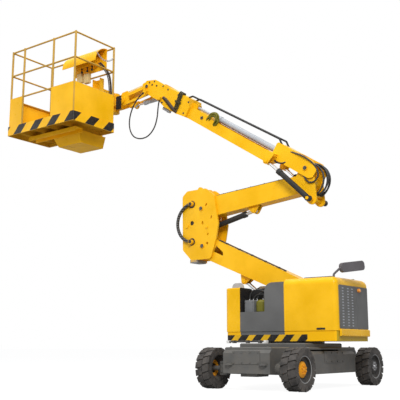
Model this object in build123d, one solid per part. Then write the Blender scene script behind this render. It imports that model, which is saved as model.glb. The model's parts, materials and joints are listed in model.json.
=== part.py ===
"""Compact electric articulated boom lift, parked with its arms part raised.

X is the way the boom reaches, Y the way the chassis drives, Z is up. Everything is laid out about the slew
axis, and moved at the end so that the origin is on the floor under the middle of the whole machine.
"""

from build123d import *
from math import atan2, cos, degrees, hypot, radians, sin, sqrt, tan
import os

# Wheels: solid tyres with two staggered rows of slanted lugs
TYRE_D = 520
TYRE_W = 200
LUG_H = 20
LUG_COUNT = 16
LUG_GAP = 18
LUG_SLANT = 26
LUG_MID = 4
LUG_END_IN = 2
SHOULDER = (26, 40)
RIM_D = 330
RIM_WALL = 14
RIM_DISH = 62
RIM_DISC_T = 20
HUB_D = 200
HUB_PROUD = 40
TRACK = 1240
WHEELBASE = 1980
FRONT_AXLE_Y = 1050

# Axles and steering
AXLE_R = 70
KINGPIN_X = 470
KINGPIN_R = 22
SLEEVE_R = 40
SLEEVE_H = 110
YOKE_T = 25
YOKE_GAP = 5
YOKE_REACH = 75
SPINDLE_R = 30
STEER_ARM = (130, 30, 20)

# Chassis: a long frame box, side pods between the wheels and a deck plate over both
BODY_W = 680
BODY_OVERHANG = (180, 190)
BODY_Z = 205
BODY_TOP = 490
BODY_CHAMFER = 40
BODY_WALL = 14
POD_W = 1180
POD_Y = (-560, 640)
POD_Z = 190
POD_DROP = 20
DECK_T = 30
DECK_EDGE = 12
RISER = (1000, 980, 50)
RISER_Y = 130
BELLY = (260, 240, 40)
LASHING_R = 55
LASHING_HOLE_R = 20
LASHING_PLATE_T = 24
LASHING_INSET = 90
LASHING_Z = 110
LASHING_OUT = 28

# Turntable
SLEW_RING_D = 760
SLEW_RING_W = 90
SLEW_RING_H = 75
TABLE_TAIL_X = -860
TABLE_FRONT_X = 840
TABLE_W = 940
TABLE_CORNER_R = 60
TABLE_PLATE_T = 30
TABLE_INSET = 10
TABLE_SKIRT_T = 25
SKIRT_H = 130
TOWER_T = 30
TOWER_PIVOT = (-160, 1270)
TOWER_R = 130
TOWER_FOOT = (-370, 250)
COUNTERWEIGHT_L = 390
COUNTERWEIGHT_H = 580
COUNTERWEIGHT_GAP = 20
BATTERY = (520, 330)
BATTERY_GAP = 10
BULKHEAD_T = 8

# Covers on the turntable
HOOD_TOP = 1400
HOOD_CHANNEL_W = 340
HOOD_BACK_X = -345
HOOD_FRONT_X = -100
HOOD_WALL = 25
HOOD_ROUND = 85
LEDGE = (30, 70)
PANEL_GAP = 2
PANEL_FRONT_X = 590
PANEL_COLUMN_X = 200
PANEL_SILL_Z = 985
PANEL_TOP = 1365
PANEL_ROUND = 120
PANEL_T = 60
COVER_TOP = 1320
COVER_ROUND = 20
GUARD_PLATE_T = 14
GUARD_PLATE_H = 75
GUARD_PLATE_ROUND = 60
GRILLE_T = 12
GRILLE_EDGE = 20
GRILLE_COLUMNS = (0.12, 0.30, 0.45)
GRILLE_ROWS = 14
GRILLE_SLOT = (52, 15)
GRILLE_SEAM = 0.6
LAMP_R = 24
LAMP_L = 34
MIRROR = (400, 70, 125)
MIRROR_FOOT = (70, 85)
MIRROR_LEAN = (-85, -15, 75)
MIRROR_STALK_R = 14
MIRROR_TURN = 250
TANK = (220, 300)
MANIFOLD = (120, 190)
BAY_GAP = 20

# Arms: welded box tubes between two pivots, with their height at each end
LOWER_ARM_L = 1795
LOWER_ARM_ANGLE = 24.0
LOWER_ARM_H = (270, 330)
UPPER_ARM_L = 1758
UPPER_ARM_ANGLE = 174.6
UPPER_ARM_H = (300, 250)
ARM_W = 200
ARM_WALL = 14
KNUCKLE_RISE = 570
KNUCKLE_SHIFT = 20
KNUCKLE_PLATE_T = 30
KNUCKLE_HOSE_R = 24
KNUCKLE_HOLE_X = 175
WINDOW = ((199, -12), (214, 84), (367, 35), (390, -15))
HEAD_PLATE_T = 23
HEAD_HOSE_R = 13
SIDE_GAP = 7
PIN_R = 35
SMALL_PIN_R = 22
PIN_FIT = 0.5
PIN_HEAD = 14

# Boom: distances along it from its pivot, and heights above that line
BOOM_PIVOT = (-50, 195)
BOOM_ANGLE = 33.0
BOOM_PLATE_T = 25
BOOM_REAR = -170
BOX_U = (250, 600)
BOX_V = (-103, 137)
BEAM_END = 2400
BEAM_V = (-200, -40)
BEAM_W = 220
FRONT_U = (2380, 3050)
FRONT_V = (-225, 90)
HEAD_U = (3000, 3480)
HEAD_V = (-182, 95)
HEAD_NOSE = 90
LEVEL_V = 15
LEVEL_R = 44
LEVEL_ROD_R = 20
LEVEL_ROD_U = 1860
LEVEL_STOP_U = 2330
BRACKET_U = 1930
BRACKET_V = -12
GUARD_R = 14
GUARD_RISE = 48
GUARD_Y = 96
BOOM_HOSE_R = 11
HOSE_OUT = 30
GLAND = (64, 52)
GLAND_UV = ((3013, -134), (3360, -150))
BOOM_HOSE_XZ = ((2630, 1379), (2640, 1209), (2700, 1039), (2830, 924), (3000, 909), (3155, 974), (3240, 1119),
                (3250, 1289), (3195, 1459), (3100, 1589), (3000, 1669))
CLAMP_HOSE_R = 11
CLAMP_STAND = 17
CLAMP_U = (2615, 2647, 2679)

# Jib
JIB_PIVOT = (3405, -70)
JIB_ANGLE = -8.0
JIB_L = 620
JIB_W = 200
JIB_TOP = 120
JIB_BEAM_V = (20, 70)
JIB_LOW = -112
JIB_WALL = 8
JIB_TIE = (24, 42)
JIB_BASE_UV = (3100, -100)
JIB_EYE_BACK = 200
CARRIER_LINKS = 12
CARRIER_W = 130

# Cylinders
EYE_W = 60
EYE_R = 34
EYE_GAP = 4
EAR_T = 18
EAR_R = 48
ROD_FIT = 1.0

# Platform
ROTATOR_REACH = 263
ROTATOR_R = 85
ROTATOR_H = 250
ROTATOR_SHAFT_R = 40
SWING_T = 40
BASKET_L = 1560
BASKET_BACK = 470
BASKET_Y = (480, 1400)
BASKET_DROP = 620
RAIL_H = 1380
RAIL_R = 17
CROSS_RAIL_R = 14
SEAT = 0.3
MID_RAIL_H = 950
PANEL_H = 540
GATE = (530, 1235)
FLOOR_T = 85
FLOOR_SHEET = 6
FLOOR_RIBS = 5
WEDGE_H = 185
WEDGE_X = (-160, 470)
WEDGE_Y = 980
WEDGE_TAPER = 110
CHANNEL = (1100, 160, 70)
TOE_H = 150
TOE_T = 12
SHEET_T = 4
CONSOLE_L = 780
CONSOLE_AT = 170
CONSOLE_R = 270
CONSOLE_T = 8
CONTROL_BOX = (420, 150, 150)

ARM_HALF = ARM_W / 2
CHEEK_IN = ARM_HALF + SIDE_GAP
TOWER_OUT = CHEEK_IN + TOWER_T
KNUCKLE_OUT = CHEEK_IN + KNUCKLE_PLATE_T
HEAD_OUT = CHEEK_IN + HEAD_PLATE_T
BOOM_IN = HEAD_OUT + SIDE_GAP
BOOM_OUT = BOOM_IN + BOOM_PLATE_T
TABLE_HALF = TABLE_W / 2
TABLE_Z = BODY_TOP + DECK_T + SLEW_RING_H
SKIRT_TOP = TABLE_Z + SKIRT_H
REAR_AXLE_Y = FRONT_AXLE_Y - WHEELBASE
WHEEL_R = TYRE_D / 2
EAR_IN = EYE_W / 2 + EYE_GAP

nodes = {}


def side(point, angle=0.0):
    """A plane standing along the boom: local x at an angle above +X, local y up, normal towards -Y."""
    turn = radians(angle)
    return Plane(origin=(point[0], 0, point[1]), x_dir=(cos(turn), 0, sin(turn)), z_dir=(0, -1, 0))


def beyond(point, angle, u, v=0.0):
    """The point at u along and v above a line that starts at a point and rises by an angle."""
    turn = radians(angle)
    return (point[0] + u * cos(turn) - v * sin(turn), point[1] + u * sin(turn) + v * cos(turn))


# Pivots in the boom's plane, from the tower to the platform
P1 = TOWER_PIVOT
P2 = beyond(P1, LOWER_ARM_ANGLE, LOWER_ARM_L)
P3 = (P2[0] + KNUCKLE_SHIFT, P2[1] + KNUCKLE_RISE)
P4 = beyond(P3, UPPER_ARM_ANGLE, UPPER_ARM_L)
P5 = (P4[0] + BOOM_PIVOT[0], P4[1] + BOOM_PIVOT[1])
P6 = beyond(P5, BOOM_ANGLE, *JIB_PIVOT)
P7 = beyond(P6, JIB_ANGLE, JIB_L)
ROTATOR_X = P7[0] + ROTATOR_REACH
BASKET_X = (ROTATOR_X - BASKET_BACK, ROTATOR_X - BASKET_BACK + BASKET_L)
BASKET_FLOOR_Z = P7[1] - BASKET_DROP
BASKET_RAIL_Z = BASKET_FLOOR_Z + RAIL_H
MID_RAIL_Z = BASKET_FLOOR_Z + MID_RAIL_H
PANEL_RAIL_Z = BASKET_FLOOR_Z + PANEL_H
GATE_X = (BASKET_X[0] + GATE[0], BASKET_X[0] + GATE[1])
UPRIGHT = side((0, 0))
LOWER_PLANE = side(P1, LOWER_ARM_ANGLE)
UPPER_PLANE = side(P3, UPPER_ARM_ANGLE)
BOOM_PLANE = side(P5, BOOM_ANGLE)
JIB_PLANE = side(P6, JIB_ANGLE)

# Cylinder pivots: each base on the piece before the arm, each eye at (u, v) on the arm itself
LIFT_BASE = (60, 850)
LIFT_EYE_UV = (948, -225)
LIFT_EYE = beyond(P1, LOWER_ARM_ANGLE, *LIFT_EYE_UV)
ARM_BASE = (P3[0] - 100, P3[1] - 290)
ARM_EYE_UV = (865, 190)
ARM_EYE = beyond(P3, UPPER_ARM_ANGLE, *ARM_EYE_UV)
BOOM_BASE = (P5[0] - 70, P5[1] - 440)
BOOM_EYE_UV = (560, -165)
BOOM_EYE = beyond(P5, BOOM_ANGLE, *BOOM_EYE_UV)
BOOM_CYL_Y = BOOM_OUT + EAR_T + PIN_HEAD + EAR_IN
JIB_BASE = beyond(P5, BOOM_ANGLE, *JIB_BASE_UV)
JIB_EYE_UV = (JIB_L - JIB_EYE_BACK, -150)
JIB_EYE = beyond(P6, JIB_ANGLE, *JIB_EYE_UV)


def across(sketch, plane, y0, y1):
    """A side sketch made solid from y0 to y1 across the machine."""
    return extrude(plane * (Pos(0, 0, -(y0 + y1) / 2) * sketch), amount=abs(y1 - y0) / 2, both=True)


def cheeks(sketch, plane, y_in, y_out):
    """The same plate on both sides of the boom's plane."""
    return across(sketch, plane, y_in, y_out) + across(sketch, plane, -y_out, -y_in)


def outline(points, radius=0):
    """A closed outline of straight lines, its corners rounded alike."""
    face = make_face(Polyline(*points, close=True))
    return fillet(face.vertices(), radius) if radius else face


def disc(u, v, radius):
    return Pos(u, v) * Circle(radius)


def hull(*shapes):
    return make_hull([edge for shape in shapes for edge in shape.edges()])


def block(x, y, z):
    """A box from its low and high values on each axis."""
    size = (x[1] - x[0], y[1] - y[0], z[1] - z[0])
    return Pos((x[0] + x[1]) / 2, (y[0] + y[1]) / 2, (z[0] + z[1]) / 2) * Box(*size)


def axle_bar(x, y, radius, length):
    """A round bar across the chassis at wheel height."""
    return Pos(x, y, WHEEL_R) * Rot(0, 90, 0) * Cylinder(radius, length)


def cross_pin(point, radius, half):
    return across(Circle(radius), side(point), -half, half)


def tube(path, radius):
    """A round bar or hose along a path."""
    return sweep(Plane(origin=path @ 0, z_dir=path % 0) * Circle(radius), path)


def arm_tube(length, heights, plane, eye):
    """A tapered box tube bored at each pivot, and slotted below where its cylinder's eye comes up."""
    r0, r1 = heights[0] / 2, heights[1] / 2
    outer = extrude(hull(disc(0, 0, r0), disc(length, 0, r1)), amount=ARM_HALF, both=True)
    inside = outline([(r0, ARM_WALL - r0), (length - r1, ARM_WALL - r1), (length - r1, r1 - ARM_WALL),
                      (r0, r0 - ARM_WALL)])
    arm = outer - extrude(inside, amount=ARM_HALF - ARM_WALL, both=True)
    arm -= block((eye - 110, eye + 110), (-r1 - r0, 0), (-EAR_IN, EAR_IN))
    for u in (0, length):
        arm -= extrude(disc(u, 0, PIN_R + PIN_FIT), amount=ARM_W, both=True)
    return plane * arm


def ears(u, v, foot, plane, y=0.0, foot_half=95):
    """Two ears with a pin boss outside each, standing on a foot line, open between for a rod's eye."""
    plate = hull(disc(u, v, EAR_R), Pos(u, foot) * Rectangle(2 * foot_half, 16))
    boss = disc(u, v, 30)
    out = EAR_IN + EAR_T
    pair = across(plate, plane, y + EAR_IN, y + out) + across(plate, plane, y - out, y - EAR_IN)
    pair += across(boss, plane, y + EAR_IN, y + out + PIN_HEAD)
    return pair + across(boss, plane, y - out - PIN_HEAD, y - EAR_IN)


def along(radius, u0, u1):
    """A round bar along local x."""
    return Pos((u0 + u1) / 2, 0, 0) * Rot(0, 90, 0) * Cylinder(radius, u1 - u0)


def barrel(length, radius, rod_radius):
    """A barrel along local x: base eye bored for its pin at the origin, gland bored for the rod."""
    eye_r = SMALL_PIN_R + 20
    body = extrude(Circle(eye_r), amount=EYE_W / 2, both=True)
    body += along(radius, eye_r - 8, length - 40) + along(radius + 6, length - 60, length)
    body -= along(rod_radius + ROD_FIT, eye_r + 40, length + 10)
    return body - extrude(Circle(SMALL_PIN_R + PIN_FIT), amount=EYE_W, both=True)


def ram(start, end, rod_radius):
    """A rod along local x with its eye at the far end."""
    return along(rod_radius, start, end) + extrude(disc(end, 0, EYE_R), amount=EYE_W / 2, both=True)


def joined(solids):
    return Compound(solids) if len(solids) > 1 else solids[0]


def cylinder(name, base, eye, radius, rod_radius, length, inner, offsets=(0.0,)):
    """The barrel and the rod of a cylinder from its base pivot to its eye, once for each offset across."""
    angle = degrees(atan2(eye[1] - base[1], eye[0] - base[0]))
    reach = hypot(eye[0] - base[0], eye[1] - base[1])
    plane = side(base, angle)
    nodes[name + "_barrel"] = joined([plane * (Pos(0, 0, y) * barrel(length, radius, rod_radius)) for y in offsets])
    nodes[name + "_rod"] = joined([plane * (Pos(0, 0, y) * ram(inner, reach, rod_radius)) for y in offsets])


def chassis():
    """Hollow frame and pods under the deck plate, a belly pan, and a lashing eye at each corner."""
    half, pod_half = BODY_W / 2, POD_W / 2
    front, rear = FRONT_AXLE_Y + BODY_OVERHANG[0], REAR_AXLE_Y - BODY_OVERHANG[1]
    frame = block((-half, half), (rear, front), (BODY_Z, BODY_TOP))
    frame = chamfer(frame.edges().filter_by(Axis.X).group_by(Axis.Z)[-1], BODY_CHAMFER)
    pods = block((-pod_half, pod_half), POD_Y, (POD_Z, BODY_TOP - POD_DROP))
    frame += chamfer(pods.edges().filter_by(Axis.Y).group_by(Axis.Z)[-1], BODY_CHAMFER)
    length, width, depth = BELLY
    frame += block((-width / 2, width / 2), (front - length - 60, front - 60), (BODY_Z - depth, BODY_Z))
    inside = pod_half - BODY_CHAMFER - BODY_WALL
    frame -= block((-inside, inside), (POD_Y[0] + BODY_WALL, POD_Y[1] - BODY_WALL), (BODY_Z + BODY_WALL, BODY_TOP + 1))
    for y in (FRONT_AXLE_Y, REAR_AXLE_Y):
        frame -= axle_bar(0, y, AXLE_R + PIN_FIT, BODY_W + 10)
    for y, way in ((front, 1), (rear, -1)):
        for x in (LASHING_INSET - half, half - LASHING_INSET):
            lug = Pos(x, y, BODY_Z + LASHING_Z) * Cylinder(LASHING_R, LASHING_PLATE_T)
            lug -= Pos(x, y + way * LASHING_OUT, BODY_Z + LASHING_Z) * Cylinder(LASHING_HOLE_R, 2 * LASHING_PLATE_T)
            frame += lug - block((x - LASHING_R, x + LASHING_R), sorted((y - way * LASHING_R, y)), (BODY_Z, BODY_TOP))
    nodes["chassis_frame"] = frame
    narrow = Pos(0, (front + rear) / 2) * Rectangle(BODY_W, front - rear - 2 * BODY_CHAMFER)
    wide = Pos(0, sum(POD_Y) / 2) * Rectangle(POD_W - 2 * BODY_CHAMFER, POD_Y[1] - POD_Y[0])
    deck = Pos(0, 0, BODY_TOP) * extrude(narrow + wide, amount=DECK_T)
    deck = chamfer(deck.faces().sort_by(Axis.Z)[-1].edges(), DECK_EDGE)
    length, width, height = RISER
    riser = Pos(0, RISER_Y, BODY_TOP + DECK_T + height / 2) * Box(width, length, height)
    riser = chamfer(riser.faces().sort_by(Axis.Z)[-1].edges(), DECK_EDGE)
    nodes["deck_plate"] = deck + riser - Pos(0, 0, BODY_TOP + DECK_T + height / 2) * Cylinder(SLEW_RING_D / 2 + 5, height)
    ring = Circle(SLEW_RING_D / 2) - Circle(SLEW_RING_D / 2 - SLEW_RING_W)
    nodes["slew_ring"] = Pos(0, 0, BODY_TOP + DECK_T) * extrude(ring, amount=SLEW_RING_H)


def axles():
    """The front axle ends in kingpin yokes, the rear one in the stubs that carry its wheels."""
    yoke_z = SLEEVE_H / 2 + YOKE_GAP
    front = axle_bar(0, FRONT_AXLE_Y, AXLE_R, 2 * (KINGPIN_X - YOKE_REACH + YOKE_T / 2))
    depth = (FRONT_AXLE_Y - SLEEVE_R, FRONT_AXLE_Y + SLEEVE_R)
    for way in (-1, 1):
        x, inner = way * KINGPIN_X, way * (KINGPIN_X - YOKE_REACH)
        web = (WHEEL_R - yoke_z - YOKE_T, WHEEL_R + yoke_z + YOKE_T)
        front += block((inner - YOKE_T / 2, inner + YOKE_T / 2), depth, web)
        for z in (WHEEL_R - yoke_z - YOKE_T, WHEEL_R + yoke_z):
            front += block(sorted((inner, x)), depth, (z, z + YOKE_T))
            front += Pos(x, FRONT_AXLE_Y, z + YOKE_T / 2) * Cylinder(SLEEVE_R, YOKE_T)
        front += Pos(x, FRONT_AXLE_Y, WHEEL_R) * Cylinder(KINGPIN_R, 2 * yoke_z + YOKE_T)
    nodes["front_axle"] = front
    rear = axle_bar(0, REAR_AXLE_Y, AXLE_R, TRACK - TYRE_W + 20)
    nodes["rear_axle"] = rear + axle_bar(0, REAR_AXLE_Y, SPINDLE_R, TRACK + 90)


def steering_knuckle(name, way):
    """A kingpin sleeve with the spindle that carries a steered wheel, and its steering arm."""
    x, end = way * KINGPIN_X, TRACK / 2 + 45
    length, width, thick = STEER_ARM
    knuckle = Pos(x, FRONT_AXLE_Y, WHEEL_R) * Cylinder(SLEEVE_R, SLEEVE_H)
    knuckle += axle_bar(way * (KINGPIN_X + end) / 2, FRONT_AXLE_Y, SPINDLE_R, end - KINGPIN_X)
    knuckle += block((x - width / 2, x + width / 2), (FRONT_AXLE_Y - length, FRONT_AXLE_Y),
                     (WHEEL_R - thick / 2, WHEEL_R + thick / 2))
    nodes[name] = knuckle - Pos(x, FRONT_AXLE_Y, WHEEL_R) * Cylinder(KINGPIN_R + PIN_FIT, 2 * SLEEVE_H)


def lug_tyre():
    """A solid tyre about local z, all of flat faces: two alike halves, half a pitch apart, with a lug on each flat."""
    half, rim_r, carcass = TYRE_W / 2, RIM_D / 2, WHEEL_R - LUG_H
    pitch, (shoulder, drop) = 360 / LUG_COUNT, SHOULDER
    pad = carcass * tan(radians(pitch / 2)) - LUG_GAP / 2

    def ring(z, flat_r, sides=LUG_COUNT):
        return Pos(0, 0, z) * RegularPolygon(flat_r, sides, major_radius=False)

    body = extrude(ring(0, carcass), amount=half - shoulder)
    body += extrude(ring(half - shoulder, carcass), amount=shoulder, taper=degrees(atan2(drop, shoulder)))
    top = sqrt(WHEEL_R ** 2 - (pad + LUG_SLANT / 2) ** 2)
    root, tip, lean = carcass - drop, half - LUG_END_IN, LUG_SLANT / 2
    sketch = outline([(LUG_MID, -pad - lean), (tip, lean - pad), (tip, pad + lean), (LUG_MID, pad - lean)])
    for place in range(LUG_COUNT):
        turn = radians(pitch * (place + 0.5))
        out = Vector(cos(turn), sin(turn), 0)
        body += extrude(Plane(origin=out * root, x_dir=(0, 0, 1), z_dir=out) * sketch, amount=top - root)
    tyre = body + Rot(0, 0, pitch / 2) * Rot(180, 0, 0) * body
    return tyre - extrude(ring(0, rim_r, 2 * LUG_COUNT), amount=TYRE_W, both=True)


def wheel_rim():
    """A deep dished rim about local z, bored for its spindle."""
    half, rim_r, face, bore = TYRE_W / 2, RIM_D / 2, TYRE_W / 2 - RIM_DISH, SPINDLE_R + PIN_FIT
    section = outline([(bore, face - RIM_DISC_T), (HUB_D / 2, face - RIM_DISC_T), (rim_r - RIM_WALL, 10 - half),
                       (rim_r, 10 - half), (rim_r, half - 10), (rim_r - RIM_WALL, half - 10),
                       (rim_r - RIM_WALL, face + RIM_DISC_T), (HUB_D / 2, face), (bore, face)])
    return revolve(Plane.XZ * section, Axis.Z)


def wheel_hub():
    """The stepped hub cap over the spindle's end, seated on the rim's disc."""
    face, bore, hub_r = TYRE_W / 2 - RIM_DISH, SPINDLE_R + PIN_FIT, HUB_D / 2 - 4
    section = outline([(0, face + 8), (bore, face + 8), (bore, face), (hub_r, face), (hub_r, face + HUB_PROUD / 2),
                       (hub_r - 30, face + HUB_PROUD), (0, face + HUB_PROUD)])
    return revolve(Plane.XZ * section, Axis.Z)


def wheels():
    tyre, rim, hub = lug_tyre(), wheel_rim(), wheel_hub()
    for axle, y in (("front", FRONT_AXLE_Y), ("rear", REAR_AXLE_Y)):
        for hand, way in (("left", -1), ("right", 1)):
            place = Pos(way * TRACK / 2, y, WHEEL_R) * Rot(0, 90 * way, 0)
            for piece, shape in (("tyre", tyre), ("rim", rim), ("hub", hub)):
                nodes[piece + "_" + axle + "_" + hand] = place * shape


def table_outline(inset=0.0):
    tail, front = TABLE_TAIL_X + inset, TABLE_FRONT_X - inset
    plan = Pos((tail + front) / 2, 0) * Rectangle(front - tail, TABLE_W - 2 * inset)
    return fillet(plan.vertices(), TABLE_CORNER_R - inset)


def turntable():
    """A tray on the slew ring with the tower's two cheeks, the lower arm's pin and the lift cylinder's pin."""
    foot = TABLE_Z + TABLE_PLATE_T
    base = Pos(0, 0, TABLE_Z) * extrude(table_outline(TABLE_INSET), amount=SKIRT_H)
    base -= Pos(0, 0, foot) * extrude(table_outline(TABLE_INSET + TABLE_SKIRT_T), amount=SKIRT_H)
    sole = Pos(sum(TOWER_FOOT) / 2, foot + 10) * Rectangle(TOWER_FOOT[1] - TOWER_FOOT[0], 20)
    base += cheeks(hull(disc(*P1, TOWER_R), sole), UPRIGHT, CHEEK_IN, TOWER_OUT)
    base += cross_pin(P1, PIN_R, TOWER_OUT + PIN_HEAD) + cross_pin(LIFT_BASE, SMALL_PIN_R, TOWER_OUT + PIN_HEAD)
    nodes["turntable_base"] = base
    tail = TABLE_TAIL_X + TABLE_INSET + TABLE_SKIRT_T + COUNTERWEIGHT_GAP
    half = TABLE_HALF - TABLE_INSET - TABLE_SKIRT_T - COUNTERWEIGHT_GAP
    weight = block((tail, tail + COUNTERWEIGHT_L), (-half, half), (foot, foot + COUNTERWEIGHT_H))
    nodes["counterweight"] = chamfer(weight.edges().filter_by(Axis.Z), 60)
    length, height = BATTERY
    channel = HOOD_CHANNEL_W / 2
    wall = TABLE_HALF - PANEL_T - BATTERY_GAP
    x0 = HOOD_FRONT_X + PANEL_GAP
    nodes["battery_block"] = block((x0, x0 + length), (-wall, -channel - BULKHEAD_T - BATTERY_GAP), (foot, foot + height))
    wall_plate = outline([(x0, foot), (PANEL_FRONT_X, foot), (PANEL_FRONT_X, COVER_TOP - COVER_ROUND), (x0, PANEL_TOP)])
    plates = [across(wall_plate, UPRIGHT, way * channel, way * (channel + BULKHEAD_T)) for way in (-1, 1)]
    nodes["bay_bulkheads"] = Compound(plates)


def hood():
    """The tail cover: closed over the tail, two wings beside the arm's channel, and a ledge below the tail."""
    body = Pos(0, 0, SKIRT_TOP) * extrude(table_outline(), amount=HOOD_TOP - SKIRT_TOP)
    body -= block((HOOD_FRONT_X, TABLE_FRONT_X + 10), (-TABLE_W, TABLE_W), (0, 2 * HOOD_TOP))
    rim = body.faces().sort_by(Axis.Z)[-1].edges().filter_by(lambda edge: edge.center().X < HOOD_FRONT_X - 1)
    body = fillet(rim, HOOD_ROUND)
    body -= Pos(0, 0, SKIRT_TOP - 1) * extrude(table_outline(HOOD_WALL), amount=HOOD_TOP - SKIRT_TOP - HOOD_WALL)
    body -= block((HOOD_BACK_X, 0), (-HOOD_CHANNEL_W / 2, HOOD_CHANNEL_W / 2), (SKIRT_TOP, 2 * HOOD_TOP))
    out, tall = LEDGE
    ledge_half = TABLE_HALF - TABLE_CORNER_R
    ledge = block((TABLE_TAIL_X - out, TABLE_TAIL_X), (-ledge_half, ledge_half), (SKIRT_TOP - tall, SKIRT_TOP + 20))
    nodes["hood"] = body + chamfer(ledge.edges().filter_by(Axis.Y).group_by(Axis.X)[0], 10)


def side_panels():
    """Grey L panels ahead of the hood: a round-topped column and a low sill, with an open bay above it."""
    back = HOOD_FRONT_X + PANEL_GAP
    shape = outline([(back, SKIRT_TOP), (PANEL_FRONT_X, SKIRT_TOP), (PANEL_FRONT_X, PANEL_SILL_Z),
                     (PANEL_COLUMN_X, PANEL_SILL_Z), (PANEL_COLUMN_X, PANEL_TOP), (back, PANEL_TOP)])
    corner = shape.vertices().sort_by_distance((PANEL_COLUMN_X, PANEL_TOP))[0]
    nodes["side_panels"] = cheeks(fillet(corner, PANEL_ROUND), UPRIGHT, TABLE_HALF - PANEL_T, TABLE_HALF)


def front_covers():
    """Yellow end covers at the turntable's front, one each side of the arm's channel, with a pale guard plate on each."""
    channel = HOOD_CHANNEL_W / 2
    body = Pos(0, 0, SKIRT_TOP) * extrude(table_outline(), amount=COVER_TOP - SKIRT_TOP)
    body -= block((TABLE_TAIL_X - 10, PANEL_FRONT_X + PANEL_GAP), (-TABLE_W, TABLE_W), (0, 2 * HOOD_TOP))
    body -= block((0, TABLE_FRONT_X + 10), (-channel, channel), (0, 2 * HOOD_TOP))
    nodes["front_covers"] = fillet(body.faces().sort_by(Axis.Z)[-2:].edges().filter_by(GeomType.CIRCLE), COVER_ROUND)
    x0, x1 = PANEL_FRONT_X + 30, TABLE_FRONT_X - 30
    sheet = Pos((x0 + x1) / 2, COVER_TOP + GUARD_PLATE_H / 2) * Rectangle(x1 - x0, GUARD_PLATE_H)
    sheet = fillet(sheet.vertices().group_by(Axis.Y)[-1], GUARD_PLATE_ROUND)
    at = (channel + TABLE_HALF) / 2
    plates = [across(sheet, UPRIGHT, way * at, way * (at + GUARD_PLATE_T)) for way in (-1, 1)]
    nodes["cover_rails"] = Compound(plates)


def tail():
    """The slotted grille on the tail, the amber lamp above it and the mirror on its stalk."""
    width = TABLE_W - 2 * TABLE_CORNER_R
    low, high = SKIRT_TOP + GRILLE_EDGE + 5, HOOD_TOP - HOOD_ROUND - GRILLE_EDGE
    height = high - low
    row = (height - 2 * GRILLE_EDGE) / GRILLE_ROWS
    plate = fillet(Rectangle(width, height).vertices(), GRILLE_EDGE)
    for share in GRILLE_COLUMNS:
        for j in range(GRILLE_ROWS):
            plate -= Pos((share - 0.5) * width, (j + 0.5 - GRILLE_ROWS / 2) * row) * Rectangle(*GRILLE_SLOT)
    plate -= Pos((GRILLE_SEAM - 0.5) * width, 0) * Rectangle(6, height - 2 * GRILLE_EDGE)
    face = Plane(origin=(TABLE_TAIL_X, 0, (low + high) / 2), x_dir=(0, -1, 0), z_dir=(-1, 0, 0))
    nodes["tail_grille"] = extrude(face * plate, amount=GRILLE_T)
    lamp = Rot(0, -90, 0) * Pos(0, 0, LAMP_L / 2) * Cylinder(LAMP_R, LAMP_L)
    lamp = fillet(lamp.edges().sort_by(Axis.X)[0], LAMP_R * 0.45)
    lamp_y = (0.5 - GRILLE_SEAM - 0.06) * width
    nodes["tail_lamp"] = Pos(TABLE_TAIL_X - GRILLE_T, lamp_y, high - 2 * LAMP_R) * lamp
    length, thick, tall = MIRROR
    foot = Vector(TABLE_TAIL_X + MIRROR_FOOT[0], TABLE_HALF - MIRROR_FOOT[1], HOOD_TOP - HOOD_WALL / 2)
    bend = foot + Vector(0, 0, HOOD_WALL / 2 + 30)
    head = bend + Vector(*MIRROR_LEAN)
    way = Vector(cos(radians(MIRROR_TURN)), sin(radians(MIRROR_TURN)), 0.14)
    route = FilletPolyline(foot, bend, head, head + way * (length * 0.3), radius=30)
    shell = Box(length, thick, tall)
    shell = fillet(shell.edges().filter_by(Axis.Y), tall * 0.36)
    shell = fillet(shell.faces().sort_by(Axis.Y)[-1].edges(), thick * 0.3)
    place = Plane(origin=head + way * (length * 0.5), x_dir=way, z_dir=Vector(0, 0, 1) - way * (0.14 / way.length ** 2))
    nodes["mirror"] = tube(route, MIRROR_STALK_R) - nodes["hood"] + place * shell


def valve_bay():
    """What stands in the open bay: the oil tank, the valve manifold with its spools, and a box of switchgear."""
    foot = TABLE_Z + TABLE_PLATE_T
    length, height = TANK
    x1, y0 = PANEL_FRONT_X - BAY_GAP, HOOD_CHANNEL_W / 2 + BAY_GAP
    width = TABLE_HALF - PANEL_T - BAY_GAP - y0
    tank = block((x1 - length, x1), (y0, y0 + width), (foot, foot + height))
    tank = fillet(tank.edges().filter_by(Axis.Z), width / 5)
    tank = fillet(tank.faces().sort_by(Axis.Z)[-1].edges(), 25)
    tank += Pos(x1 - length / 2, y0 + width / 2, foot + height + 15) * Cylinder(32, 30)
    deep, (size, tall) = 0.75 * width, MANIFOLD
    x0 = HOOD_FRONT_X + 60
    stand = block((x0 + size / 2 - 20, x0 + size / 2 + 20), (y0, y0 + deep), (foot, foot + tall))
    valve = block((x0, x0 + size), (y0, y0 + deep), (foot + tall, foot + 2 * tall)) + stand
    for spool in range(3):
        y = y0 + (spool + 0.5) * deep / 3
        valve += Pos(x0 + size / 2, y, foot + 2 * tall + 25) * Cylinder(deep / 8, 50)
    nodes["valve_bay"] = Compound([tank, valve])


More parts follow.
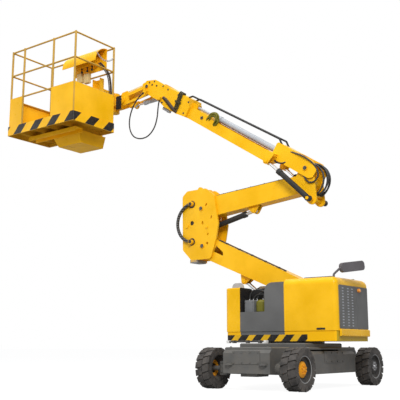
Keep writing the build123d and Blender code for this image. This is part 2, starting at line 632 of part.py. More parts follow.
def arms():
    """The two arms of the lift, each with the ears for its cylinder's rod eye."""
    lower = arm_tube(LOWER_ARM_L, LOWER_ARM_H, LOWER_PLANE, LIFT_EYE_UV[0])
    lower -= across(outline([(LOWER_ARM_L - back, v) for back, v in WINDOW]), LOWER_PLANE, -ARM_W, ARM_W)
    nodes["lower_arm"] = lower + ears(*LIFT_EYE_UV, -LOWER_ARM_H[0] / 2 - 10, LOWER_PLANE)
    flipped = Plane(origin=UPPER_PLANE.origin, x_dir=UPPER_PLANE.x_dir, z_dir=(0, 1, 0))
    upper = arm_tube(UPPER_ARM_L, UPPER_ARM_H, flipped, ARM_EYE_UV[0])
    nodes["upper_arm"] = upper + ears(*ARM_EYE_UV, UPPER_ARM_H[1] / 2 + 12, UPPER_PLANE)


def knuckle():
    """Two shaped plates that carry both arms' pins and the arm cylinder's base pin, with a hose on the near plate."""
    (x2, z2), (x3, z3) = P2, P3
    shape = outline([(x2 - 150, z2 - 200), (x2 + 210, z2 - 200), (x2 + 370, z2 - 40), (x3 + 360, z3 + 220),
                     (x3 + 270, z3 + 295), (x3 - 80, z3 + 300), (x3 - 230, z3 + 190), (x3 - 310, z3 - 260),
                     (x2 - 250, z2 + 100)], 55)
    hole_x = x3 + KNUCKLE_HOLE_X
    ends = [(hole_x, z3 + 85), (hole_x, z2 + 70)]
    slots = [(x3 - 22, z3 - 222, 34, 52, 0), (x3 - 88, z3 + 48, 26, 56, 25), (x3 - 184, z3 - 151, 24, 50, 20),
             (x2 - 86, z2 + 34, 40, 40, 45), (x2 - 100, z2 + 170, 22, 44, 30)]
    shape += disc(x3 + 25, z3 + 285, 45)
    shape -= disc(hole_x, z3 - 209, 34)
    for x, z, wide, tall, turn in slots:
        shape -= Pos(x, z) * Rot(0, 0, turn) * SlotOverall(tall, wide * 0.999, rotation=90)
    body = cheeks(shape, UPRIGHT, CHEEK_IN, KNUCKLE_OUT)
    for point, radius in ((P2, PIN_R), (P3, PIN_R), (ARM_BASE, SMALL_PIN_R), ((x3 + 270, z3 - 250), 28)):
        body += cross_pin(point, radius, KNUCKLE_OUT + PIN_HEAD)
    body += across(Pos(x2 + 170, z2 - 205) * Rectangle(110, 50), UPRIGHT, -KNUCKLE_OUT, KNUCKLE_OUT)
    hose_y = KNUCKLE_OUT + KNUCKLE_HOSE_R + 4
    collars = [across(disc(*end, KNUCKLE_HOSE_R + 12), UPRIGHT, KNUCKLE_OUT, hose_y + KNUCKLE_HOSE_R + 4) for end in ends]
    for collar in collars:
        body += collar
    nodes["arm_knuckle"] = body
    loop = ThreePointArc((ends[0][0], hose_y, ends[0][1]), (x3 + 430, hose_y, (ends[0][1] + ends[1][1]) / 2),
                         (ends[1][0], hose_y, ends[1][1]))
    nodes["knuckle_hose"] = tube(loop, KNUCKLE_HOSE_R) - collars


def top_head():
    """Upright cheeks at the upper arm's end with the boom's pivot and its cylinders' pins, and hose loops behind."""
    shape = hull(disc(*P4, 150), disc(*P5, 105), disc(*BOOM_BASE, 70))
    body = cheeks(shape, UPRIGHT, CHEEK_IN, HEAD_OUT)
    body += cross_pin(P4, PIN_R, HEAD_OUT + PIN_HEAD / 4)
    body += cross_pin(BOOM_BASE, SMALL_PIN_R, BOOM_CYL_Y + EYE_W / 2 + PIN_HEAD)
    for way in (-1, 1):
        body += across(disc(*BOOM_BASE, SMALL_PIN_R + 8), UPRIGHT, way * HEAD_OUT, way * (BOOM_CYL_Y - EAR_IN))
    body -= cross_pin(P5, PIN_R + PIN_FIT, BOOM_OUT)
    high, low = (P5[0] - 55, P5[1] + 70), (BOOM_BASE[0] - 20, BOOM_BASE[1] + 60)
    bars = [across(Pos(*at) * Rectangle(44, 44), UPRIGHT, -CHEEK_IN, CHEEK_IN) for at in (high, low)]
    for bar in bars:
        body += bar
    nodes["top_head"] = body
    hoses = []
    for y, bulge in ((-80, 235), (-40, 265), (0, 245), (40, 275), (80, 230)):
        loop = ThreePointArc((high[0], y, high[1]), (P5[0] - bulge, y, (high[1] + low[1]) / 2 + 40), (low[0], y, low[1]))
        hoses.append(tube(loop, HEAD_HOSE_R) - bars)
    nodes["head_hoses"] = Compound([solid for hose in hoses for solid in hose.solids()])


def boom():
    """Rear fork plates and box, an open channel beam, the front box and the forked head, as one weldment."""
    (u0, u1), (v0, v1), (low, high) = BOX_U, BOX_V, BEAM_V
    fork = outline([(BOOM_REAR, v0 + 40), (BOOM_REAR + 60, v0), (u1, v0), (u1, v1), (BOOM_REAR + 130, v1),
                    (BOOM_REAR, v1 - 70)], 30)
    body = cheeks(fork, BOOM_PLANE, BOOM_IN, BOOM_OUT)
    box = outline([(u0, v0), (u1, v0), (u1, v1), (u0, v1)])
    inside = outline([(u0 - 1, v0 + ARM_WALL), (u1 - ARM_WALL, v0 + ARM_WALL), (u1 - ARM_WALL, v1 - ARM_WALL),
                      (u0 - 1, v1 - ARM_WALL)])
    body += across(box, BOOM_PLANE, -BOOM_IN, BOOM_IN) - across(inside, BOOM_PLANE, 1 - BOOM_IN, BOOM_IN - 1)
    half = BEAM_W / 2
    beam = outline([(u1 - 10, low + 70), (u1 + 90, low), (BEAM_END, low), (BEAM_END, high), (u1 - 10, high)])
    trough = outline([(u1 + 10, low + ARM_WALL + 80), (u1 + 100, low + ARM_WALL), (BRACKET_U, low + ARM_WALL),
                      (BRACKET_U, high + 1), (u1 + 10, high + 1)])
    body += across(beam, BOOM_PLANE, -half, half) - across(trough, BOOM_PLANE, ARM_WALL - half, half - ARM_WALL)
    (f0, f1), (g0, g1) = FRONT_U, FRONT_V
    front = outline([(f0, low), (f0 + 200, g0), (f1 - 180, g0), (f1, HEAD_V[0]), (f1, g1), (f0 + 90, g1), (f0, high)])
    hollow = outline([(f0 + 40, low + 20), (f1 + 1, low + 30), (f1 + 1, g1 - ARM_WALL), (f0 + 90, g1 - 30)])
    body += across(front, BOOM_PLANE, -BOOM_OUT, BOOM_OUT)
    body -= across(hollow, BOOM_PLANE, ARM_WALL - BOOM_OUT, BOOM_OUT - ARM_WALL)
    (h0, h1), (w0, w1) = HEAD_U, HEAD_V
    nose = w1 - w0 - HEAD_NOSE
    head = outline([(h0, w0), (h1 - nose, w0), (h1, w0 + HEAD_NOSE), (h1, w1 - HEAD_NOSE), (h1 - nose, w1), (h0, w1 - 5)], 35)
    body += cheeks(head, BOOM_PLANE, CHEEK_IN, BOOM_OUT)
    body += cross_pin(P5, PIN_R, BOOM_OUT + PIN_HEAD) + cross_pin(P6, PIN_R, BOOM_OUT + PIN_HEAD)
    body += cross_pin(JIB_BASE, SMALL_PIN_R, BOOM_OUT)
    for way in (-1, 1):
        y = way * BOOM_CYL_Y
        bridge = Pos(BOOM_EYE_UV[0], v0 + 60) * Rectangle(140, 40)
        body += ears(*BOOM_EYE_UV, v0 + 60, BOOM_PLANE, y, 70)
        body += across(bridge, BOOM_PLANE, way * (BOOM_OUT - 5), y + way * (EAR_IN + EAR_T))
    saddle = outline([(BRACKET_U, high), (LEVEL_STOP_U, high), (LEVEL_STOP_U, BRACKET_V), (BRACKET_U + 60, BRACKET_V)])
    stop = outline([(LEVEL_STOP_U, high), (f0 + 60, high), (f0 + 60, LEVEL_V + 45), (LEVEL_STOP_U, LEVEL_V + 45)], 12)
    body += across(saddle, BOOM_PLANE, -half, half) + across(stop, BOOM_PLANE, -45, 45)
    return body


def boom_fittings(body):
    """The levelling master cylinder along the boom, the guard bars over it, and the hoses clamped to the front box."""
    u1, v1 = BOX_U[1], BOX_V[1]
    level = Pos(0, LEVEL_V) * along(LEVEL_R, u1 + SEAT, LEVEL_ROD_U)
    level += Pos(0, LEVEL_V) * along(LEVEL_R + 6, LEVEL_ROD_U - 50, LEVEL_ROD_U)
    level += Pos(0, LEVEL_V) * along(LEVEL_ROD_R, LEVEL_ROD_U, LEVEL_STOP_U - SEAT)
    nodes["level_cylinder"] = BOOM_PLANE * level
    f0, g1 = FRONT_U[0], FRONT_V[1]
    bars = []
    for y in (-GUARD_Y, GUARD_Y):
        route = FilletPolyline((u1 - 60, v1 - 20, y), (u1 + 40, v1 + GUARD_RISE, y), (f0 + 90, g1 + GUARD_RISE, y),
                               (f0 + 170, g1 - 20, y), radius=45)
        bars.append((BOOM_PLANE * tube(route, GUARD_R)) - body)
    nodes["guard_bar"] = Compound([max(bar.solids(), key=lambda solid: solid.volume) for bar in bars])
    near, roof = BOOM_OUT + CLAMP_STAND, g1 + CLAMP_STAND
    middle, wide = sum(CLAMP_U) / len(CLAMP_U), CLAMP_U[-1] - CLAMP_U[0] + 50
    clamps = Pos(middle - 20, -50, -near - SEAT) * Box(wide, 26, 2 * CLAMP_STAND)
    clamps += Pos(middle + 5, roof + SEAT, 50 - near) * Box(wide, 2 * CLAMP_STAND, 26)
    for u in CLAMP_U:
        route = FilletPolyline((u - 40, FRONT_V[0] + 60, -near), (u, roof, -near), (u + 8, roof, 80 - near), radius=28)
        clamps += tube(route, CLAMP_HOSE_R)
    nodes["hose_clamps"] = BOOM_PLANE * clamps


def hanging_hose():
    """The hose that hangs in a loop beside the boom's head, between two glands on its near plate."""
    y = BOOM_OUT + HOSE_OUT
    glands = [BOOM_PLANE * (Pos(u, v, -y) * Box(*GLAND, 2 * HOSE_OUT)) for u, v in GLAND_UV]
    start, end = (beyond(P5, BOOM_ANGLE, *at) for at in GLAND_UV)
    points = [start] + [beyond(P5, 0, x, z) for x, z in BOOM_HOSE_XZ] + [end]
    turns, runs = [], [Vector(b[0] - a[0], b[1] - a[1]) for a, b in zip(points, points[1:])]
    for before, after in zip(runs, runs[1:]):
        shorter = min(before.length, after.length)
        turns.append(0.45 * shorter / tan(radians(before.get_angle(after) / 2)))
    print("hose radii", [round(radius) for radius in turns], "length", round(sum(run.length for run in runs)))
    route = FilletPolyline(*[(x, y, z) for x, z in points], radius=turns)
    nodes["boom_hose"] = tube(route, BOOM_HOSE_R) - glands
    for gland in glands:
        nodes["boom"] += gland


def jib():
    """A low beam, tie bars beside the cylinder and an end cheek pair at each pivot, with a ribbed carrier on top."""
    half, (thick, tall), (b0, b1) = JIB_W / 2, JIB_TIE, JIB_BEAM_V
    beam = outline([(60, b0), (JIB_L - 40, b0), (JIB_L - 40, b1), (60, b1)])
    bore = outline([(0, b0 + JIB_WALL), (JIB_L, b0 + JIB_WALL), (JIB_L, b1 - JIB_WALL), (0, b1 - JIB_WALL)])
    body = across(beam, JIB_PLANE, -half, half) - across(bore, JIB_PLANE, JIB_WALL - half, half - JIB_WALL)
    for u, way in ((0, -1), (JIB_L, 1)):
        cheek = outline([(u + way * 62, -50), (u + way * 62, 50), (u - way * 20, JIB_TOP), (u - way * 140, JIB_TOP),
                         (u - way * 140, JIB_LOW), (u - way * 20, JIB_LOW)], 15)
        body += cheeks(cheek, JIB_PLANE, half - thick, half)
    tie = outline([(100, JIB_LOW), (JIB_L - 100, JIB_LOW), (JIB_L - 100, JIB_LOW + tall), (100, JIB_LOW + tall)])
    body += cheeks(tie, JIB_PLANE, half - thick, half)
    strap = Pos(JIB_EYE_UV[0], JIB_LOW + tall / 2) * Rectangle(90, tall)
    body += ears(*JIB_EYE_UV, JIB_LOW + 20, JIB_PLANE, 0.0, 60) + cheeks(strap, JIB_PLANE, EAR_IN, half)
    for point in (P6, P7):
        body -= cross_pin(point, PIN_R + PIN_FIT, JIB_W)
    nodes["jib"] = body
    start, pitch = 60, (JIB_L - 100) / CARRIER_LINKS
    core = outline([(start, b1), (JIB_L - 40, b1), (JIB_L - 40, JIB_TOP - 14), (start, JIB_TOP - 14)])
    carrier = across(core, JIB_PLANE, 8 - CARRIER_W / 2, CARRIER_W / 2 - 8)
    for link in range(CARRIER_LINKS):
        rib = Pos(start + (link + 0.5) * pitch, (b1 + JIB_TOP) / 2) * Rectangle(pitch * 0.62, JIB_TOP - b1)
        carrier += across(rib, JIB_PLANE, -CARRIER_W / 2, CARRIER_W / 2)
    nodes["jib_carrier"] = carrier


def platform_bracket():
    """A fork round the jib's end pin, with the rotator's housing ahead of it."""
    inner = JIB_W / 2 + SIDE_GAP
    outer = inner + 20
    plate = hull(disc(*P7, 75), Pos(ROTATOR_X - 40, P7[1]) * Rectangle(60, 170))
    body = cheeks(plate, UPRIGHT, inner, outer) + cross_pin(P7, PIN_R, outer + PIN_HEAD)
    body += block((ROTATOR_X - 120, ROTATOR_X), (-outer, outer), (P7[1] - 85, P7[1] + 85))
    body += Pos(ROTATOR_X, 0, P7[1]) * Cylinder(ROTATOR_R, ROTATOR_H)
    nodes["platform_bracket"] = body - Pos(ROTATOR_X, 0, P7[1]) * Cylinder(ROTATOR_SHAFT_R, 2 * ROTATOR_H)


def basket_mount():
    """The rotator's shaft with a swing arm at each end, on a channel post down to a tapered box under the floor."""
    floor_z, x = BASKET_FLOOR_Z - FLOOR_T, ROTATOR_X
    y0, y1 = BASKET_Y[0] - 110, BASKET_Y[0] - 20
    body = Pos(x, 0, P7[1]) * Cylinder(ROTATOR_SHAFT_R - PIN_FIT, ROTATOR_H + 90)
    for way in (-1, 1):
        z = P7[1] + way * (ROTATOR_H / 2 + SWING_T / 2 + 5)
        body += Pos(x, 0, z) * Cylinder(ROTATOR_R, SWING_T)
        body += block((x - 60, x + 60), (0, y1), (z - SWING_T / 2, z + SWING_T / 2))
    body += block((x - 90, x + 90), (y0, y1), (floor_z - WEDGE_H, MID_RAIL_Z))
    body -= block((x - 78, x + 78), (y0 + 12, y1 + 1), (floor_z, MID_RAIL_Z + 1))
    x0, x1 = x + WEDGE_X[0], x + WEDGE_X[1]
    wide = Pos((x0 + x1) / 2, (y0 + WEDGE_Y) / 2, floor_z) * Rectangle(x1 - x0, WEDGE_Y - y0)
    small = (x1 - x0 - WEDGE_TAPER, WEDGE_Y - y0 - WEDGE_TAPER)
    narrow = Pos((x0 + x1) / 2, (y0 + WEDGE_Y - WEDGE_TAPER) / 2, floor_z - WEDGE_H) * Rectangle(*small)
    wedge = loft([narrow, wide], ruled=True)
    body += offset(wedge, -10, openings=wedge.faces().sort_by(Axis.Z)[-1])
    length, width, height = CHANNEL
    beam = block((x0 - 90, x0 - 90 + length), (WEDGE_Y - 1, WEDGE_Y + width), (floor_z - height, floor_z))
    beam -= block((x0 - 91, x0 - 89 + length), (WEDGE_Y + 10, WEDGE_Y + width - 10), (floor_z - height, floor_z - 10))
    nodes["basket_mount"] = body + beam


def basket():
    """Ribbed floor pan, tube rails, sheet panels, striped toe boards and the control console."""
    (x0, x1), (y0, y1), top = BASKET_X, BASKET_Y, BASKET_FLOOR_Z
    inset, edge = TOE_T + RAIL_R + SEAT, TOE_T + SEAT
    floor = block((x0 + edge, x1 - edge), (y0 + edge, y1 - edge), (top - FLOOR_T, top))
    floor = fillet(floor.edges().filter_by(Axis.Z), inset - TOE_T)
    pitch = (x1 - x0 - 2 * edge - FLOOR_SHEET) / FLOOR_RIBS
    for bay in range(FLOOR_RIBS):
        start = x0 + edge + FLOOR_SHEET + bay * pitch
        floor -= block((start, start + pitch - FLOOR_SHEET), (y0 + edge + FLOOR_SHEET, y1 - edge - FLOOR_SHEET),
                       (top - FLOOR_T, top - FLOOR_SHEET))
    nodes["basket_floor"] = floor
    xs, ys = (x0 + inset, x1 - inset), (y0 + inset, y1 - inset)
    posts = [(x, y) for x in xs for y in ys] + [(x, ys[1]) for x in GATE_X] + [((x0 + x1) / 2, ys[0])]
    rails = [tube(Line((x, y, top), (x, y, BASKET_RAIL_Z)), RAIL_R) for x, y in posts]
    for z in (BASKET_RAIL_Z - RAIL_R, MID_RAIL_Z, PANEL_RAIL_Z):
        for start, end in (((xs[0], ys[0]), (xs[1], ys[0])), ((xs[0], ys[1]), (xs[1], ys[1])),
                           ((xs[0], ys[0]), (xs[0], ys[1])), ((xs[1], ys[0]), (xs[1], ys[1]))):
            rails.append(tube(Line((*start, z), (*end, z)), CROSS_RAIL_R))
    nodes["basket_rails"] = rails[0] + rails[1:]
    low, high, sheet = top + TOE_H - FLOOR_T, PANEL_RAIL_Z, TOE_T - SHEET_T
    nodes["basket_panels"] = Compound([
        block((x0 + sheet, x0 + TOE_T), ys, (low, high)),
        block((x1 - TOE_T, x1 - sheet), ys, (low, high)),
        block((xs[0], GATE_X[0]), (y1 - TOE_T, y1 - sheet), (low, high)),
        block((GATE_X[1], xs[1]), (y1 - TOE_T, y1 - sheet), (low, high)),
        block(xs, (y0 + sheet, y0 + TOE_T), (low, high))])
    plan = fillet(Rectangle(x1 - x0, y1 - y0).vertices(), inset)
    inside = fillet(Rectangle(x1 - x0 - 2 * TOE_T, y1 - y0 - 2 * TOE_T).vertices(), inset - TOE_T)
    place = Pos((x0 + x1) / 2, (y0 + y1) / 2, top - FLOOR_T)
    nodes["toe_boards"] = place * extrude(plan - inside, amount=TOE_H)
    start, back = x0 + CONSOLE_AT, ys[0] + RAIL_R + SEAT
    hood_plane = Plane(origin=(start, back, BASKET_RAIL_Z - CONSOLE_R), x_dir=(0, 1, 0), z_dir=(1, 0, 0))
    bow = Circle(CONSOLE_R) - Circle(CONSOLE_R - CONSOLE_T)
    bow &= Pos(CONSOLE_R / 2, CONSOLE_R / 2) * Rectangle(CONSOLE_R, CONSOLE_R)
    bow += Pos(CONSOLE_T / 2, CONSOLE_R * 0.35) * Rectangle(CONSOLE_T, CONSOLE_R * 1.3)
    length, depth, height = CONTROL_BOX
    box = Pos(depth / 2, CONSOLE_R * 0.3) * Rectangle(depth, height)
    inset = (CONSOLE_L - length) / 2
    nodes["console"] = extrude(hood_plane * bow, amount=CONSOLE_L) + Pos(inset, 0, 0) * extrude(hood_plane * box, amount=length)


chassis()
axles()
steering_knuckle("steering_knuckle_left", -1)
steering_knuckle("steering_knuckle_right", 1)
wheels()
turntable()
hood()
side_panels()
front_covers()
tail()
valve_bay()
arms()
knuckle()
top_head()
nodes["boom"] = boom()
boom_fittings(nodes["boom"])
hanging_hose()
jib()
cylinder("lift_cylinder", LIFT_BASE, LIFT_EYE, 45, 26, 720, 250)
cylinder("arm_cylinder", ARM_BASE, ARM_EYE, 40, 24, 640, 250)
cylinder("boom_cylinder", BOOM_BASE, BOOM_EYE, 38, 22, 640, 250, (-BOOM_CYL_Y, BOOM_CYL_Y))
cylinder("jib_cylinder", JIB_BASE, JIB_EYE, 32, 18, 430, 235)
platform_bracket()
basket_mount()
basket()

whole = Compound(list(nodes.values())).bounding_box()
ORIGIN = ((whole.min.X + whole.max.X) / 2, (whole.min.Y + whole.max.Y) / 2, whole.min.Z)
os.makedirs("parts", exist_ok=True)
for node_name, shape in nodes.items():
    export_step(Pos(-ORIGIN[0], -ORIGIN[1], -ORIGIN[2]) * shape, "parts/" + node_name + ".step")
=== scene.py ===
# %% [markdown]
# # Dressing an articulated boom lift
# The machine comes in as a fixed frame of solid pieces that already stand in the right place. This lesson
# sets up a studio, gives every piece a finish, and adds the small parts that a fitter would see: bolts,
# hoses, clips, plugs and levers. The frame could be modelled again here, but loading it keeps every pivot
# where the machine really turns.

# %% Load the frame
import json
import math

import bmesh
import bpy
from mathutils import Matrix, Vector


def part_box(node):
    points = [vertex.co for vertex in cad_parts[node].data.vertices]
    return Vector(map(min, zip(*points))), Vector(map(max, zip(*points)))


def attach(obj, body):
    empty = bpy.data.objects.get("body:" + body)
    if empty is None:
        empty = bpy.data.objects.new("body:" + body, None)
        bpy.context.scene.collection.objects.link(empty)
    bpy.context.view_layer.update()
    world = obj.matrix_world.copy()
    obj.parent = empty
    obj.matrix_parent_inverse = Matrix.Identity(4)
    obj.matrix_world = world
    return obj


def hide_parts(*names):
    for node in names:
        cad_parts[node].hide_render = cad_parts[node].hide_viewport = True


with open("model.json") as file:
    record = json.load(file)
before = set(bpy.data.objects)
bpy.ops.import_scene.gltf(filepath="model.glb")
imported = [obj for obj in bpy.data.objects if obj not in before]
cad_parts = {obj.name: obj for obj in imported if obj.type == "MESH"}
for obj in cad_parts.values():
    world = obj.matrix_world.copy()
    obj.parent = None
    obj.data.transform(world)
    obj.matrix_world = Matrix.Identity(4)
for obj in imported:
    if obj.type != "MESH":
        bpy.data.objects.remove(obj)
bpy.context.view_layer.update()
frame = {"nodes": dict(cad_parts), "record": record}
joints = {joint["name"]: joint for joint in frame["record"]["behaviour"]["joints"]}

# %% [markdown]
# ## Camera
# The machine is seen from knee height with a long lens, so upright edges hardly converge. A camera could be
# aimed at an empty, but a look direction and a tilt are easier to reason about. The turntable's slew axis is
# the best fixed point on the machine, so the camera is placed from there.

# %% Place the camera
slew = Vector(joints["slew"]["pos_m"])
CAMERA_FROM_SLEW = Vector((-5.17, 9.02, 0.0))
CAMERA_HEIGHT = 0.52
LOOK = Vector((0.6018, -0.7986, 0.0))
TILT_UP = math.radians(11.1)

camera_data = bpy.data.cameras.new("camera")
camera_data.lens = 67.5
camera_data.sensor_width = 36.0
camera = bpy.data.objects.new("camera", camera_data)
bpy.context.scene.collection.objects.link(camera)
camera.location = (slew.x + CAMERA_FROM_SLEW.x, slew.y + CAMERA_FROM_SLEW.y, CAMERA_HEIGHT)
aim = LOOK.normalized() * math.cos(TILT_UP) + Vector((0, 0, math.sin(TILT_UP)))
camera.rotation_euler = aim.to_track_quat("-Z", "Y").to_euler()
bpy.context.scene.camera = camera
print("camera at", tuple(round(v, 2) for v in camera.location))

# %% [markdown]
# ## Studio
# An even world keeps the colours as they are written. A white room could be modelled, but a ray switch is
# simpler: camera rays and mirrored rays see white, while the light on the machine stays softer.

# %% Make the world
bpy.context.scene.view_settings.view_transform = "Standard"
world = bpy.data.worlds.new("studio")
bpy.context.scene.world = world
world.use_nodes = True
tree = world.node_tree
tree.nodes.clear()
rays = tree.nodes.new("ShaderNodeLightPath")
seen = tree.nodes.new("ShaderNodeMath")
seen.operation = "MAXIMUM"
seen_too = tree.nodes.new("ShaderNodeMath")
seen_too.operation = "MAXIMUM"
tree.links.new(rays.outputs["Is Camera Ray"], seen.inputs[0])
tree.links.new(rays.outputs["Is Glossy Ray"], seen.inputs[1])
tree.links.new(seen.outputs[0], seen_too.inputs[0])
tree.links.new(rays.outputs["Is Transmission Ray"], seen_too.inputs[1])
soft = tree.nodes.new("ShaderNodeBackground")
soft.inputs["Color"].default_value = (0.95, 0.97, 1.0, 1)
soft.inputs["Strength"].default_value = 0.40
backdrop = tree.nodes.new("ShaderNodeBackground")
backdrop.inputs["Color"].default_value = (1, 1, 1, 1)
backdrop.inputs["Strength"].default_value = 1.0
pick = tree.nodes.new("ShaderNodeMixShader")
tree.links.new(seen_too.outputs[0], pick.inputs["Fac"])
tree.links.new(soft.outputs[0], pick.inputs[1])
tree.links.new(backdrop.outputs[0], pick.inputs[2])
out = tree.nodes.new("ShaderNodeOutputWorld")
tree.links.new(pick.outputs[0], out.inputs["Surface"])
print("world lights the machine at", soft.inputs["Strength"].default_value)

# %% [markdown]
# ## Lamps
# The machine is lit from above and behind the camera, with soft light from straight above and a little from
# the left. A sun would draw hard edges, so wide square lamps are used.

# %% Hang the lamps


def lamp(name, place, target, size, watts):
    """A square soft light at a place, facing a target."""
    data = bpy.data.lights.new(name, "AREA")
    data.size = size
    data.energy = watts
    light = bpy.data.objects.new(name, data)
    light.location = place
    light.rotation_euler = (Vector(target) - Vector(place)).to_track_quat("-Z", "Y").to_euler()
    bpy.context.scene.collection.objects.link(light)


lamp("key", (-7.5, 9.5, 9.0), (0, 0, 2.4), 5.0, 1280)
lamp("top", (0.5, 1.0, 12.0), (0, 0, 2.0), 6.0, 560)
lamp("side", (8.0, 6.0, 4.0), (0.5, 0, 3.0), 5.0, 160)
print("lamps hung:", len(bpy.data.lights))

# %% [markdown]
# ## Floor
# The wheels stand on a wide floor. A plain white one would look grey in this light, so for camera rays the
# floor mostly glows, and it still takes a soft shadow from the wheels.

# %% Lay the floor
floor_mesh = bpy.data.meshes.new("floor")
shape = bmesh.new()
bmesh.ops.create_grid(shape, x_segments=1, y_segments=1, size=200.0)
shape.to_mesh(floor_mesh)
shape.free()
floor = bpy.data.objects.new("floor", floor_mesh)
bpy.context.scene.collection.objects.link(floor)
floor_look = bpy.data.materials.new("studio_floor")
floor_look.use_nodes = True
tree = floor_look.node_tree
tree.nodes.clear()
rays = tree.nodes.new("ShaderNodeLightPath")
share = tree.nodes.new("ShaderNodeMath")
share.operation = "MULTIPLY"
share.inputs[1].default_value = 0.7
tree.links.new(rays.outputs["Is Camera Ray"], share.inputs[0])
matt = tree.nodes.new("ShaderNodeBsdfDiffuse")
matt.inputs["Color"].default_value = (0.5, 0.5, 0.5, 1)
glow = tree.nodes.new("ShaderNodeEmission")
glow.inputs["Strength"].default_value = 1.33
pick = tree.nodes.new("ShaderNodeMixShader")
tree.links.new(share.outputs[0], pick.inputs["Fac"])
tree.links.new(matt.outputs[0], pick.inputs[1])
tree.links.new(glow.outputs[0], pick.inputs[2])
out = tree.nodes.new("ShaderNodeOutputMaterial")
tree.links.new(pick.outputs[0], out.inputs["Surface"])
floor_mesh.materials.append(floor_look)
print("floor laid, with", len(tree.nodes), "shader nodes")

# %% [markdown]
# ## Finishes
# Paint on a machine is never one flat colour: it fades in patches, its skin has a fine orange peel, its
# edges are rubbed, and road dust lies on the lower parts. Painted pictures could show that, but they need
# unwrapped pieces. Here each finish is built from the same few layers, all read from Object coordinates, so
# that they stay put on the part.

# %% Layers that every finish shares


class Finish:
    """A material with its node tree, and short ways to add layers to it."""

    def __init__(self, name):
        self.material = bpy.data.materials.new(name)
        self.material.use_nodes = True
        self.tree = self.material.node_tree
        self.shader = self.tree.nodes["Principled BSDF"]
        self.coords = self.node("ShaderNodeTexCoord").outputs["Object"]

    def node(self, kind, **values):
        made = self.tree.nodes.new(kind)
        for key, value in values.items():
            setattr(made, key, value)
        return made

    def link(self, start, end):
        self.tree.links.new(start, end)

    def math(self, operation, first, second=0.0):
        made = self.node("ShaderNodeMath", operation=operation)
        for socket, value in zip(made.inputs, (first, second)):
            if isinstance(value, (int, float)):
                socket.default_value = value
            else:
                self.link(value, socket)
        return made.outputs[0]

    def all_of(self, first, *others):
        """The product of tests and shares: 1 only where each of them is 1."""
        for other in others:
            first = self.math("MULTIPLY", first, other)
        return first

    def noise(self, scale, detail=3.0, rough=0.55):
        made = self.node("ShaderNodeTexNoise")
        made.inputs["Scale"].default_value = scale
        made.inputs["Detail"].default_value = detail
        made.inputs["Roughness"].default_value = rough
        self.link(self.coords, made.inputs["Vector"])
        return made.outputs["Fac"]

    def band(self, value, low, high, out_low=0.0, out_high=1.0):
        made = self.node("ShaderNodeMapRange")
        limits = {"From Min": low, "From Max": high, "To Min": out_low, "To Max": out_high}
        for key, number in limits.items():
            made.inputs[key].default_value = number
        self.link(value, made.inputs["Value"])
        return made.outputs["Result"]

    def mix(self, share, first, second):
        made = self.node("ShaderNodeMix", data_type="RGBA")
        for socket, value in ((made.inputs[0], share), (made.inputs[6], first), (made.inputs[7], second)):
            if isinstance(value, tuple):
                socket.default_value = (*value, 1)
            elif isinstance(value, (int, float)):
                socket.default_value = value
            else:
                self.link(value, socket)
        return made.outputs[2]

    def axes(self):
        """The place on the part as X, Y and Z."""
        made = self.node("ShaderNodeSeparateXYZ")
        self.link(self.coords, made.inputs[0])
        return made.outputs

    def normal(self):
        """The way the surface faces as X, Y and Z."""
        made = self.node("ShaderNodeSeparateXYZ")
        self.link(self.node("ShaderNodeNewGeometry").outputs["Normal"], made.inputs[0])
        return made.outputs

    def edges(self, radius):
        """How far the surface turns within a radius: 0 on flats, near 1 on sharp edges."""
        rounded = self.node("ShaderNodeBevel", samples=4)
        rounded.inputs["Radius"].default_value = radius
        flat = self.node("ShaderNodeNewGeometry").outputs["Normal"]
        turn = self.node("ShaderNodeVectorMath", operation="DOT_PRODUCT")
        self.link(rounded.outputs[0], turn.inputs[0])
        self.link(flat, turn.inputs[1])
        return self.band(turn.outputs["Value"], 0.995, 0.86)

    def bump(self, height, strength, distance, radius=0.0):
        made = self.node("ShaderNodeBump")
        made.inputs["Strength"].default_value = strength
        made.inputs["Distance"].default_value = distance
        self.link(height, made.inputs["Height"])
        if radius:
            rounded = self.node("ShaderNodeBevel", samples=4)
            rounded.inputs["Radius"].default_value = radius
            self.link(rounded.outputs[0], made.inputs["Normal"])
        self.link(made.outputs[0], self.shader.inputs["Normal"])

    def colour(self, socket):
        self.link(socket, self.shader.inputs["Base Color"])

    def rough(self, socket):
        self.link(socket, self.shader.inputs["Roughness"])


DUST = (0.34, 0.27, 0.19)
DUST_SHARE = 0.22
EDGE_REACH = 0.006
PAINT_SHINE = 0.16


def paint(name, base, worn, gloss=0.32, dust_top=0.0, wear=0.06, base_socket=None):
    """Sprayed paint: faded patches, fine orange peel, rubbed edges, and dust below a height."""
    look = Finish(name)
    patches = look.band(look.noise(2.2, 4), 0.35, 0.68)
    faded = tuple(min(1.0, value * 1.06 + 0.012) for value in base)
    deep = tuple(value * 0.90 for value in base)
    shade = look.mix(patches, deep, faded)
    if base_socket:
        shade = base_socket(look, shade)
    scuffs = look.band(look.noise(34, 5, 0.7), 0.48, 0.62)
    rubbed = look.all_of(look.edges(EDGE_REACH), scuffs, wear)
    shade = look.mix(rubbed, shade, worn)
    if dust_top:
        height = look.band(look.axes()["Z"], dust_top, 0.0)
        grime = look.band(look.noise(9, 5, 0.65), 0.38, 0.75)
        shade = look.mix(look.all_of(height, grime, DUST_SHARE), shade, DUST)
    look.colour(shade)
    look.rough(look.band(look.noise(6, 3), 0.3, 0.7, gloss - 0.06, gloss + 0.12))
    look.bump(look.noise(260, 2), 0.06, 0.002)
    look.shader.inputs["Specular IOR Level"].default_value = PAINT_SHINE
    return look.material


print("layers ready")

